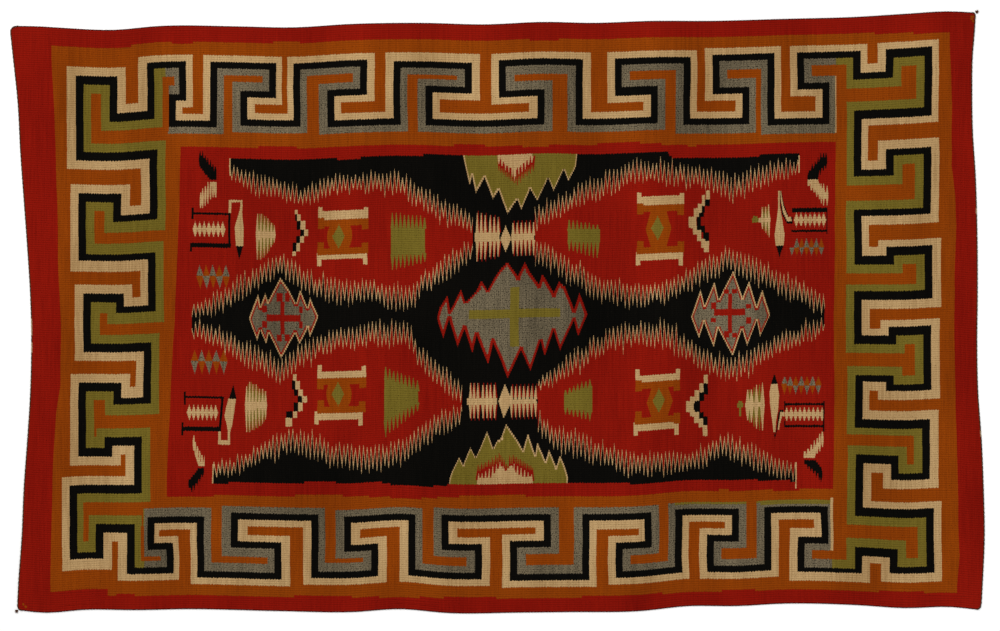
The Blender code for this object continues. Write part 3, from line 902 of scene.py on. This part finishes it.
def lozenge_row(first, pitch, rows, width, upper, lower):
    """Tall lozenges side by side, each one colour above its middle row and another below it."""
    top, middle, bottom = rows
    for k, (above, below) in enumerate(zip(upper, lower)):
        low, x, high = first + pitch * k + np.array((-0.5, 0, 0.5)) * width
        weave_shape(((low, middle), (x, top), (high, middle)), above)
        weave_shape(((low, middle), (high, middle), (x, bottom)), below)


two_dyes = (GREY, ORANGE) * 4
lozenge_row(200.3, 6.5, (265, 276.5, 288.5), 7.4, two_dyes[:5], two_dyes[1:6])
lozenge_row(195, 7.2, (350, 361, 374), 7.6, two_dyes[1:6], two_dyes[:5])
lozenge_row(791.5, 4.9, (238, 247, 255.5), 5.6, (RED, *two_dyes[:6]), two_dyes[:7])
lozenge_row(784.2, 5.6, (376, 384.5, 394), 6.2, (GREY, *two_dyes[:6]), (ORANGE, *two_dyes[1:7]))

# Two small old darns in orange yarn, each close to a knotted corner.
DARNS = ((970.2, 974, 15.6, 18.2), (970.2, 972.6, 18.2, 20.4), (971.8, 974.4, 20.4, 22.8),
         (22.6, 24.4, 603.4, 606.2), (24.8, 27.2, 606.2, 608.6))
weave_blocks(DARNS, ORANGE)


# The woven cloth: one wool tapestry, its warps wholly covered by coloured wefts beaten down over
# them, so that each warp shows as a rib. Each yarn is a closed piece as thick as the cloth, and
# where two yarns meet along a warp their loops interlock in a row of fine teeth.
THICKNESS = 0.0035
VALLEY = 0.0009
STATION = 48 * PICKS_PER_SQUARE
EDGE_STATION = STATION // 4
TOOTH_REACH = 0.0015
# The teeth are 4 to 6 picks apart, and end a little before the plan does.
LEAST_APART, MOST_APART, TEETH_SHORT = 4, 6, 20
END_ROUNDS = 4
ZONES = ("border", "upper", "lower")
zone = np.where(between(**FIELD), np.where(warp_number < WARPS / 2, 1, 2), 0)
tooth_count = len(pick_x) // ((LEAST_APART + MOST_APART) // 2) - TEETH_SHORT
tooth_at = np.cumsum(rng.integers(LEAST_APART, MOST_APART + 1, tooth_count))


def in_frame(x, line):
    """A place on the plan in metres: lines, counted in warps, run evenly from the top edge to the bottom."""
    along = (x - CHART_MIDDLE[0]) * SQUARE
    top, bottom = edge_at(TOP_EDGE, along), edge_at(BOTTOM_EDGE, along)
    return along - centre[0], top + line / WARPS * (bottom - top) - centre[1]


def end_of(end_line, lines):
    """The plan's columns where lines along the warps meet an end edge, by rounds of correction."""
    order = np.argsort(end_line[:, 1])
    x = np.full(len(lines), end_line[:, 0].mean() / SQUARE + CHART_MIDDLE[0])
    for _ in range(END_ROUNDS):
        y = in_frame(x, lines)[1] + centre[1]
        x = np.interp(y, end_line[order, 1], end_line[order, 0]) / SQUARE + CHART_MIDDLE[0]
    return x


first_x, last_x = (end_of(line, np.arange(2 * WARPS + 1) / 2) for line in (left_end, right_end))


def run_marks(warp):
    """Where a warp's rib has points on crest and valleys: at each change of yarn, and at regular stations."""
    station = STATION if 1 < warp < WARPS - 2 else EDGE_STATION
    marks = np.union1d(np.flatnonzero(np.diff(yarn[warp])) + 1, np.arange(station, len(pick_x), station))
    at = CHART_LEFT + marks / PICKS_PER_SQUARE
    near = slice(2 * warp, 2 * warp + 3)
    return marks[(at > first_x[near].max() + 1) & (at < last_x[near].min() - 1)]


def with_teeth(marks, differs):
    """Adds the teeth's columns, about every 2.5 mm, where the yarns differ and no mark is near."""
    teeth = tooth_at[differs[tooth_at]]
    spot = np.searchsorted(marks, teeth)
    after, before = marks[np.minimum(spot, len(marks) - 1)], marks[spot - 1]
    return np.union1d(marks, teeth[(abs(after - teeth) > 1) & (abs(before - teeth) > 1)])


def tooth_swing(marks, differs):
    """How far the marks of a valley stand out of line: up and down in turn, by uneven amounts."""
    room = np.minimum(np.diff(marks, prepend=0), np.diff(marks, append=len(pick_x))) / 5
    turn = np.where(np.arange(len(marks)) % 2, TOOTH_REACH, -TOOTH_REACH) * np.clip(room, 0, 1)
    return np.where(differs[marks] & differs[marks - 1], turn * rng.uniform(0.2, 1.0, len(marks)), 0)


def zipped(upper, lower):
    """Triangles between two lines of point numbers and columns, and the column where each starts.

    Each interval of one line takes the nearest point of the other. Both lines have a point at each
    change of yarn, so no triangle spans two yarns.
    """
    (upper_ids, upper_at), (lower_ids, lower_at) = upper, lower
    nearest = np.searchsorted((lower_at[:-1] + lower_at[1:]) / 2, (upper_at[:-1] + upper_at[1:]) / 2)
    change = np.searchsorted(nearest, np.arange(len(lower_ids) - 1), side="right")
    hanging = np.column_stack((lower_ids[nearest], upper_ids[1:], upper_ids[:-1]))
    standing = np.column_stack((lower_ids[:-1], lower_ids[1:], upper_ids[change]))
    return np.vstack((hanging, standing)), np.concatenate((upper_at[:-1], lower_at[:-1]))


def ribbed_cloth():
    """The cloth's points above and below, their thread places, and triangles above and below.

    Lines 0, 2, 4 and so on are the valleys between the ribs, and the odd ones the ribs' crests. With
    each triangle goes its kind, a number for its yarn and zone. The flat underside has no crests or teeth.
    """
    runs = [run_marks(warp) for warp in range(WARPS)]
    apart = yarn[:-1] != yarn[1:]
    apart = np.vstack((apart[:1] & False, apart, apart[:1] & False))
    lines, points, under_points, threads = [], [], [], []
    count = 0
    for number in range(2 * WARPS + 1):
        warp = number // 2
        if number % 2:
            marks = with_teeth(runs[warp], apart[warp] | apart[warp + 1])
        else:
            marks = with_teeth(np.union1d(runs[max(warp - 1, 0)], runs[min(warp, WARPS - 1)]), apart[warp])
        at = CHART_LEFT + marks / PICKS_PER_SQUARE
        x = np.concatenate((first_x[number, None], at, last_x[number, None]))
        along, across = in_frame(x, number / 2)
        under_points.append(np.column_stack((along, across, np.zeros(len(x)))))
        if number % 2 == 0:
            across[1:-1] += tooth_swing(marks, apart[warp])
        height = np.full(len(x), THICKNESS - (0 if number % 2 else VALLEY))
        points.append(np.column_stack((along, across, height)))
        threads.append(np.column_stack((x * SQUARE, np.full(len(x), number / 2), np.ones(len(x)))))
        ids = np.arange(count, count + len(x))
        lines.append((ids, np.concatenate(([0], marks, [len(pick_x)]))))
        count += len(x)

    face, underside = [], []
    for warp in range(WARPS):
        kind = yarn[warp] * len(ZONES) + zone[warp]
        above, crest, below = lines[2 * warp:2 * warp + 3]
        for upper, lower, into in ((above, crest, face), (crest, below, face), (above, below, underside)):
            triangles, start = zipped(upper, lower)
            into.append(np.column_stack((triangles, kind[start])))
    return [np.vstack(group) for group in (points, under_points, threads, face, underside)]


cloth_points, under_points, cloth_threads, cloth_face, cloth_under = ribbed_cloth()
BAKE_SPAN, FACE_SHARE, UNDER_SCALE = 1.96, 0.62, 0.6


def wool_mesh(name, kinds):
    """A closed piece: its part of the face and of the underside, and walls round their edges.

    A wall is a four-sided face along a valley, and a five-sided one, with the crest, across a rib.
    """
    count = len(cloth_points)
    up = cloth_face[np.isin(cloth_face[:, 3], kinds), :3]
    down = cloth_under[np.isin(cloth_under[:, 3], kinds), 2::-1] + count
    edges = np.concatenate((up[:, [0, 1]], up[:, [1, 2]], up[:, [2, 0]]))
    rim = edges[~np.isin(edges @ (count, 1), edges[:, ::-1] @ (count, 1))]
    on_crest = cloth_threads[:, 1] % 1 > 0
    level = rim[~on_crest[rim].any(axis=1)]
    rising, falling = rim[on_crest[rim[:, 1]]], rim[on_crest[rim[:, 0]]]
    start, stop = rising[np.argsort(rising[:, 1])], falling[np.argsort(falling[:, 0]), 1]
    long_walls = np.column_stack((level[:, 0], level[:, 0] + count, level[:, 1] + count, level[:, 1]))
    cross_walls = np.column_stack((start[:, 1], start[:, 0], start[:, 0] + count, stop + count, stop))
    groups = (up, down, long_walls, cross_walls)
    used, corners = np.unique(np.concatenate([group.ravel() for group in groups]), return_inverse=True)

    sides = np.concatenate([np.full(len(group), group.shape[1]) for group in groups])
    mesh = bpy.data.meshes.new(name)
    mesh.vertices.add(len(used))
    place = np.vstack((cloth_points, under_points))[used]
    mesh.vertices.foreach_set("co", place.ravel())
    mesh.loops.add(len(corners))
    mesh.loops.foreach_set("vertex_index", corners)
    mesh.polygons.add(len(sides))
    mesh.polygons.foreach_set("loop_start", np.cumsum(sides) - sides)
    mesh.update(calc_edges=True)

    wall = np.arange(len(sides)) >= len(up) + len(down)
    mesh.attributes.new("sharp_face", "BOOLEAN", "FACE").data.foreach_set("value", wall)
    thread = np.vstack((cloth_threads, cloth_threads * (1, 1, -1)))[used]
    ends = np.empty(2 * len(mesh.edges), int)
    mesh.edges.foreach_get("vertices", ends)
    crease = (thread[:, 1] % 1 == 0)[ends.reshape(-1, 2)].all(axis=1)
    mesh.attributes.new("sharp_edge", "BOOLEAN", "EDGE").data.foreach_set("value", crease)
    mesh.attributes.new("thread", "FLOAT_VECTOR", "POINT").data.foreach_set("vector", thread.ravel())
    shown = place[:, :2] / BAKE_SPAN + (0.5, FACE_SHARE / 2)
    turned = (shown - (0.5, 0)) * UNDER_SCALE + (0.5, FACE_SHARE)
    spots = np.where(thread[:, 2:] > 0, shown, turned)
    mesh.uv_layers.new(name="OFBake").data.foreach_set("uv", spots[corners].ravel())
    return mesh


# The yarns: hand-spun wool dyed in the skein. A tone drifts along the warps where one skein ends
# and the next begins, each pick is a shade lighter or darker, and the grey is carded from black
# and white fleece. The beads are the wefts, bent over the warps in turn.
BEAD = 0.0021
# Each noise: its grain along the warps, for a metre, and across them, for a warp, and its detail.
BEND, FIBRE, FLECK = (160, 1.7, 1), (1500, 30, 2), (520, 1.9, 2)
PICK_TONE, SKEIN_TONE, WORN_TONE = (420, 0.05, 2), (9, 0.012, 3), (5, 0.02, 2)
PICK_SHARE, SKEIN_SHARE, WORN_SHARE = 0.38, 0.34, 0.28


def weave_group():
    """Masks that every yarn shares: its tone from 0 to 1, flecks, painted shade for the grooves between ribs
    and the pits between beads, and relief.
    """
    group = bpy.data.node_groups.new("wool_weave", "ShaderNodeTree")
    for name in ("Tone", "Fleck", "Painted Shade", "Relief"):
        group.interface.new_socket(name, in_out="OUTPUT", socket_type="NodeSocketFloat")

    def value(operation, *inputs):
        item = node(group, "ShaderNodeMath", dict(enumerate(inputs)), operation=operation)
        return item.outputs[0]

    def noise(along, across, detail):
        scaled = node(group, "ShaderNodeVectorMath", {0: thread, 1: (along, across, 1)}, operation="MULTIPLY")
        settings = {"Vector": scaled.outputs[0], "Scale": 1.0, "Detail": detail}
        field = node(group, "ShaderNodeTexNoise", settings).outputs["Fac"]
        spread = {"Value": field, "From Min": 0.3, "From Max": 0.7}
        return node(group, "ShaderNodeMapRange", spread).outputs["Result"]

    thread = node(group, "ShaderNodeAttribute", attribute_name="thread").outputs["Vector"]
    parts = node(group, "ShaderNodeSeparateXYZ", {"Vector": thread})
    along, line = parts.outputs["X"], parts.outputs["Y"]
    bend = value("MULTIPLY", noise(*BEND), 1.4)
    turn = value("MULTIPLY", value("FLOOR", line), math.pi / 2)
    phase = value("ADD", value("ADD", value("MULTIPLY", along, math.pi / BEAD), turn), bend)
    bead = value("ABSOLUTE", value("SINE", phase))
    fibre = noise(*FIBRE)
    pick_part = value("MULTIPLY", noise(*PICK_TONE), PICK_SHARE)
    skein_part = value("MULTIPLY", noise(*SKEIN_TONE), SKEIN_SHARE)
    worn_part = value("MULTIPLY", noise(*WORN_TONE), WORN_SHARE)
    tone = value("ADD", value("ADD", pick_part, skein_part), worn_part)
    # Painted shade: a mask that darkens the colour towards each valley between the ribs and in the pits
    # between the weft beads.
    rib = value("ABSOLUTE", value("SUBTRACT", value("FRACT", line), 0.5))
    valley_shade = value("POWER", value("MULTIPLY", rib, 2.0), 3.0)
    pit_shade = value("MULTIPLY", value("SUBTRACT", 1.0, bead), 0.45)
    relief = value("ADD", value("MULTIPLY", bead, 0.8), value("MULTIPLY", fibre, 0.35))
    result = node(group, "NodeGroupOutput")
    for name, socket in (("Tone", tone), ("Fleck", noise(*FLECK)), ("Relief", relief),
                         ("Painted Shade", value("MAXIMUM", valley_shade, value("MULTIPLY", pit_shade, 0.8)))):
        group.links.new(socket, result.inputs[name])
    return group


def linear(red, green, blue):
    """A screen colour from 0 to 255 as the light it stands for."""
    screen = np.array((red, green, blue)) / 255
    light = np.where(screen > 0.04045, ((screen + 0.055) / 1.055) ** 2.4, screen / 12.92)
    return (*light, 1.0)


# How far the painted shade in the grooves and pits darkens the colour towards black
PAINTED_GROOVE_SHADE = 0.34


def wool(name, dark, light, fleck, fleck_share):
    """Matte wool between two tones, with flecks of a third, and painted shade darkening its grooves and the
    pits between its beads.
    """
    material = bpy.data.materials.new(name)
    material.use_nodes = True
    tree = material.node_tree
    shader = tree.nodes["Principled BSDF"]
    weave = node(tree, "ShaderNodeGroup", node_tree=weave_masks).outputs

    def blend(factor, first, second, kind="MIX"):
        item = node(tree, "ShaderNodeMix", {"Factor": factor}, data_type="RGBA", blend_type=kind)
        for socket, colour in ((item.inputs[6], first), (item.inputs[7], second)):
            if isinstance(colour, bpy.types.NodeSocket):
                tree.links.new(colour, socket)
            else:
                socket.default_value = colour
        return item.outputs[2]

    base = blend(weave["Tone"], linear(*dark), linear(*light))
    spread = {"Value": weave["Fleck"], "From Min": 1 - fleck_share, "From Max": 1.05 - fleck_share * 0.6}
    base = blend(node(tree, "ShaderNodeMapRange", spread).outputs["Result"], base, linear(*fleck))
    # Painted shade: the base colour is blended towards black in the rib grooves and bead pits.
    painted_shade_range = {"Value": weave["Painted Shade"], "To Max": PAINTED_GROOVE_SHADE}
    base = blend(node(tree, "ShaderNodeMapRange", painted_shade_range).outputs["Result"], base, (0, 0, 0, 1))
    tree.links.new(base, shader.inputs["Base Color"])
    gloss = {"Value": weave["Fleck"], "To Min": 0.82, "To Max": 0.96}
    tree.links.new(node(tree, "ShaderNodeMapRange", gloss).outputs["Result"], shader.inputs["Roughness"])
    bump = node(tree, "ShaderNodeBump", {"Height": weave["Relief"], "Strength": 0.7, "Distance": 0.0005})
    tree.links.new(bump.outputs["Normal"], shader.inputs["Normal"])
    shader.inputs["Specular IOR Level"].default_value = 0.04
    return material


weave_masks = weave_group()
DYES = {
    RED: ("wool_red", (108, 9, 3), (148, 23, 8), (74, 6, 2), 0.10),
    ORANGE: ("wool_orange", (110, 44, 1), (152, 68, 5), (80, 28, 2), 0.14),
    CREAM: ("wool_cream", (140, 106, 64), (204, 170, 120), (104, 76, 44), 0.18),
    BLACK: ("wool_black", (2, 2, 1), (12, 10, 7), (30, 24, 16), 0.05),
    GREY: ("wool_grey", (60, 53, 40), (136, 122, 96), (24, 21, 17), 0.40),
    OLIVE: ("wool_olive", (88, 75, 20), (124, 108, 40), (56, 46, 15), 0.18),
}
dyed = {colour: wool(*dye) for colour, dye in DYES.items()}

# The yarns as pieces. Cream and black run all over the rug, so each is cut at the field's edge.
# The red piece stands for the whole woven body, and the others lie in it.
WEFTS = {
    "weft_red": (RED, (0, 1, 2)),
    "weft_orange": (ORANGE, (0, 1, 2)),
    "weft_cream_border": (CREAM, (0,)),
    "weft_cream_upper": (CREAM, (1,)),
    "weft_cream_lower": (CREAM, (2,)),
    "weft_black_border": (BLACK, (0,)),
    "weft_black_field": (BLACK, (1, 2)),
    "weft_grey": (GREY, (0, 1, 2)),
    "weft_olive": (OLIVE, (0, 1, 2)),
}
for name, (colour, zones) in WEFTS.items():
    mesh = wool_mesh(name, [colour * len(ZONES) + k for k in zones])
    mesh.materials.append(dyed[colour])
    piece = bpy.data.objects.new(name, mesh)
    bpy.context.scene.collection.objects.link(piece)
    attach(piece, "root")
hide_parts("rug_body")


# The edge cords: two plies of dark wool twined along the warp ends and along both sides. They
# are beaded by their twist, worn pale in places, and lie against the cloth on the floor.
END_CORD = {"width": 0.0034, "twist": 0.018, "step": 0.0012}
SIDE_CORD = {"width": 0.0026, "twist": 0.012, "step": 0.0018}
TOUCH_GAP = 0.0003
PLY_SHARE = 0.7
SIDES = 5


def offset_line(line, distance):
    """A line moved outwards by a distance, its corners mitred."""
    step = np.diff(line, axis=0)
    normal = np.column_stack((step[:, 1], -step[:, 0])) / np.linalg.norm(step, axis=1)[:, None]
    mitre = np.vstack((normal[:1], normal)) + np.vstack((normal, normal[-1:]))
    return line + mitre * (2 * distance / (mitre**2).sum(axis=1))[:, None]


def evenly(line, step):
    """Points a step apart along a line, and how far along it each lies."""
    run = np.concatenate(([0], np.cumsum(np.linalg.norm(np.diff(line, axis=0), axis=1))))
    far = np.linspace(0, run[-1], round(run[-1] / step) + 1)
    return np.column_stack([np.interp(far, run, part) for part in line.T]), far


def tube(path, radius, sides):
    """Rings round a path, each turned square to it, joined by quads, and closed at both ends."""
    tangent = np.gradient(path, axis=0)
    tangent /= np.linalg.norm(tangent, axis=1)[:, None]
    across = np.cross(tangent, (0, 0, 1))
    across /= np.linalg.norm(across, axis=1)[:, None]
    over = np.cross(across, tangent)
    angle = np.arange(sides) * 2 * math.pi / sides
    radius = np.broadcast_to(radius, len(path))[:, None, None]
    ring = np.cos(angle)[:, None] * across[:, None] + np.sin(angle)[:, None] * over[:, None]
    vertices = (path[:, None] + radius * ring).reshape(-1, 3)
    k, j = np.meshgrid(np.arange(len(path) - 1), np.arange(sides), indexing="ij")
    a, b = k * sides + j, k * sides + (j + 1) % sides
    faces = np.stack((a, a + sides, b + sides, b), axis=-1).reshape(-1, 4).tolist()
    last = (len(path) - 1) * sides
    return vertices, [*faces, list(range(sides)), [last + side for side in range(sides)][::-1]]


def joined(name, tubes, strands, material):
    """Several tubes as one smooth object, its strand attribute giving length, wear and tube number."""
    vertices, faces = [], []
    for part_vertices, part_faces in tubes:
        start = sum(map(len, vertices))
        vertices.append(part_vertices)
        faces += [[start + index for index in face] for face in part_faces]
    mesh = bpy.data.meshes.new(name)
    mesh.from_pydata(np.concatenate(vertices), [], faces)
    mesh.shade_smooth()
    attribute = mesh.attributes.new("strand", "FLOAT_VECTOR", "POINT")
    attribute.data.foreach_set("vector", np.concatenate(strands).ravel())
    mesh.materials.append(material)
    piece = bpy.data.objects.new(name, mesh)
    bpy.context.scene.collection.objects.link(piece)
    return piece


def twisted_cord(name, line, sizes, worn, material):
    """Two plies wound round a line that lies a radius above the floor: each is a helix of a tube."""
    radius = sizes["width"] / 2
    flat, far = evenly(line, sizes["step"])
    step = np.gradient(flat, axis=0)
    side = np.column_stack((step[:, 1], -step[:, 0], np.zeros(len(flat))))
    side /= np.linalg.norm(side, axis=1)[:, None]
    axis = np.column_stack((flat, np.full(len(flat), radius)))
    ply = radius * PLY_SHARE
    wear = np.zeros(len(far))
    for start, stop in worn:
        y = CHART_MIDDLE[1] - (flat[:, 1] + centre[1]) / SQUARE
        wear = np.maximum(wear, np.clip(np.minimum(y - start, stop - y) / 2 + 0.5, 0, 1))
    tubes, strands = [], []
    for number in range(2):
        turn = (2 * math.pi * far / sizes["twist"] + math.pi * number)[:, None]
        path = axis + (radius - ply) * (np.cos(turn) * side + np.sin(turn) * (0, 0, 1))
        tubes.append(tube(path, ply, SIDES))
        strand = np.column_stack((far, wear, np.full(len(far), number)))
        strands.append(np.repeat(strand, SIDES, axis=0))
    return joined(name, tubes, strands, material)


def cord_wool(name, dark, light, pale):
    """Dark wool whose tone changes along the strand, with pale worn stretches."""
    material = bpy.data.materials.new(name)
    material.use_nodes = True
    tree = material.node_tree
    shader = tree.nodes["Principled BSDF"]
    strand = node(tree, "ShaderNodeAttribute", attribute_name="strand").outputs["Vector"]
    scaled = node(tree, "ShaderNodeVectorMath", {0: strand, 1: (90, 0.3, 7)}, operation="MULTIPLY").outputs[0]
    drift = node(tree, "ShaderNodeTexNoise", {"Vector": scaled, "Scale": 1.0, "Detail": 3.0}).outputs["Fac"]
    place = node(tree, "ShaderNodeTexCoord").outputs["Object"]
    fuzz = node(tree, "ShaderNodeTexNoise", {"Vector": place, "Scale": 1800.0, "Detail": 2.0}).outputs["Fac"]
    wear = node(tree, "ShaderNodeSeparateXYZ", {"Vector": strand}).outputs["Y"]
    tone = node(tree, "ShaderNodeMapRange", {"Value": drift, "From Min": 0.35, "From Max": 0.68}).outputs[0]
    base = node(tree, "ShaderNodeMix", {0: tone, 6: linear(*dark), 7: linear(*light)}, data_type="RGBA")
    worn = node(tree, "ShaderNodeMath", {0: wear, 1: fuzz}, operation="MULTIPLY").outputs[0]
    lift = node(tree, "ShaderNodeMapRange", {"Value": worn, "From Min": 0.25, "From Max": 0.6}).outputs[0]
    full = node(tree, "ShaderNodeMix", {0: lift, 6: base.outputs[2], 7: linear(*pale)}, data_type="RGBA")
    tree.links.new(full.outputs[2], shader.inputs["Base Color"])
    bump = node(tree, "ShaderNodeBump", {"Height": fuzz, "Strength": 0.5, "Distance": 0.0003})
    tree.links.new(bump.outputs["Normal"], shader.inputs["Normal"])
    shader.inputs["Roughness"].default_value = 0.9
    shader.inputs["Specular IOR Level"].default_value = 0.05
    return material


brown_wool = cord_wool("cord_brown", (22, 12, 8), (98, 60, 36), (176, 150, 116))
side_wool = cord_wool("cord_dark_red", (44, 4, 2), (92, 8, 5), (120, 90, 60))
LEFT_WORN, RIGHT_WORN = ((318, 336), (342, 353)), ((208, 214), (430, 437))
# Each cord is twined through the last warps, so its plies are never clear of the cloth's edge.
end_offset = END_CORD["width"] / 2 * PLY_SHARE
side_offset = SIDE_CORD["width"] / 2 * PLY_SHARE


def shortened(line, gap):
    """A line with both of its ends drawn in, clear of the end cords."""
    start, stop = line[1] - line[0], line[-2] - line[-1]
    line = line.copy()
    line[0] += start / np.linalg.norm(start) * gap
    line[-1] += stop / np.linalg.norm(stop) * gap
    return line


top_side = shortened(offset_line(top_line, side_offset), TOUCH_GAP)
bottom_side = shortened(offset_line(bottom_line, side_offset), TOUCH_GAP)
CORDS = {
    "end_cord_left": (offset_line(left_end, end_offset), END_CORD, LEFT_WORN, brown_wool),
    "end_cord_right": (offset_line(right_end, end_offset), END_CORD, RIGHT_WORN, brown_wool),
    "side_cord_top": (top_side, SIDE_CORD, (), side_wool),
    "side_cord_bottom": (bottom_side, SIDE_CORD, (), side_wool),
}
for node_name, (line, sizes, worn, material) in CORDS.items():
    piece = twisted_cord(f"twisted_{node_name}", line - centre, sizes, worn, material)
    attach(piece, "root")
    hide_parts(node_name)

# The corner ties: where the cords meet, their ends are knotted together and cut short. Each knot
# is one strand wound as a trefoil, with a few frayed ends.
KNOT_RADIUS, KNOT_STRAND, KNOT_RISE = 0.0026, 0.0009, 0.0006
KNOT_STEPS, KNOT_SIDES = 61, 6
FRAY_STEPS, FRAY_SIDES = 6, 4
STRAND_LENGTH = 0.004
FRAY = {"strands": 6, "length": 0.0045, "radius": 0.0003, "spread": 0.8}


def corner_knot(name, outwards):
    """A trefoil of one strand where a solid tie lies, with frayed ends fanned out and drooping."""
    low, high = (np.array(corner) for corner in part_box(name))
    middle = np.array((*((low + high) / 2)[:2], KNOT_RISE + KNOT_STRAND))
    t = np.linspace(0, 2 * math.pi, KNOT_STEPS)
    form = np.column_stack((np.sin(t) + 2 * np.sin(2 * t), np.cos(t) - 2 * np.cos(2 * t), -np.sin(3 * t)))
    path = middle + form * (KNOT_RADIUS / 3, KNOT_RADIUS / 3, KNOT_RISE)
    tubes = [tube(path, KNOT_STRAND, KNOT_SIDES)]
    strands = [np.repeat(np.column_stack((t * STRAND_LENGTH, t * 0, t * 0)), KNOT_SIDES, axis=0)]
    fan = np.linspace(-1, 1, FRAY["strands"]) * FRAY["spread"]
    for turn in math.atan2(*outwards[::-1]) + fan + rng.normal(0, 0.1, FRAY["strands"]):
        far = np.linspace(0, 1, FRAY_STEPS)[:, None]
        direction = np.array((math.cos(turn), math.sin(turn), 0))
        droop = np.array((0, 0, -1)) * (middle[2] - FRAY["radius"] * 2) * far**2
        way = middle + direction * (KNOT_RADIUS * 0.5 + FRAY["length"] * far) + droop
        tubes.append(tube(way, FRAY["radius"] * (1.2 - far[:, 0]), FRAY_SIDES))
        strand = np.column_stack((far * STRAND_LENGTH, far, far * 0 + 3))
        strands.append(np.repeat(strand, FRAY_SIDES, axis=0))
    return joined(f"knotted_{name}", tubes, strands, brown_wool)


for node_name, outwards in (("corner_tie_top_right", (1, 0.5)), ("corner_tie_bottom_left", (-0.6, -1))):
    piece = corner_knot(node_name, outwards)
    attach(piece, "root")
    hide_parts(node_name)
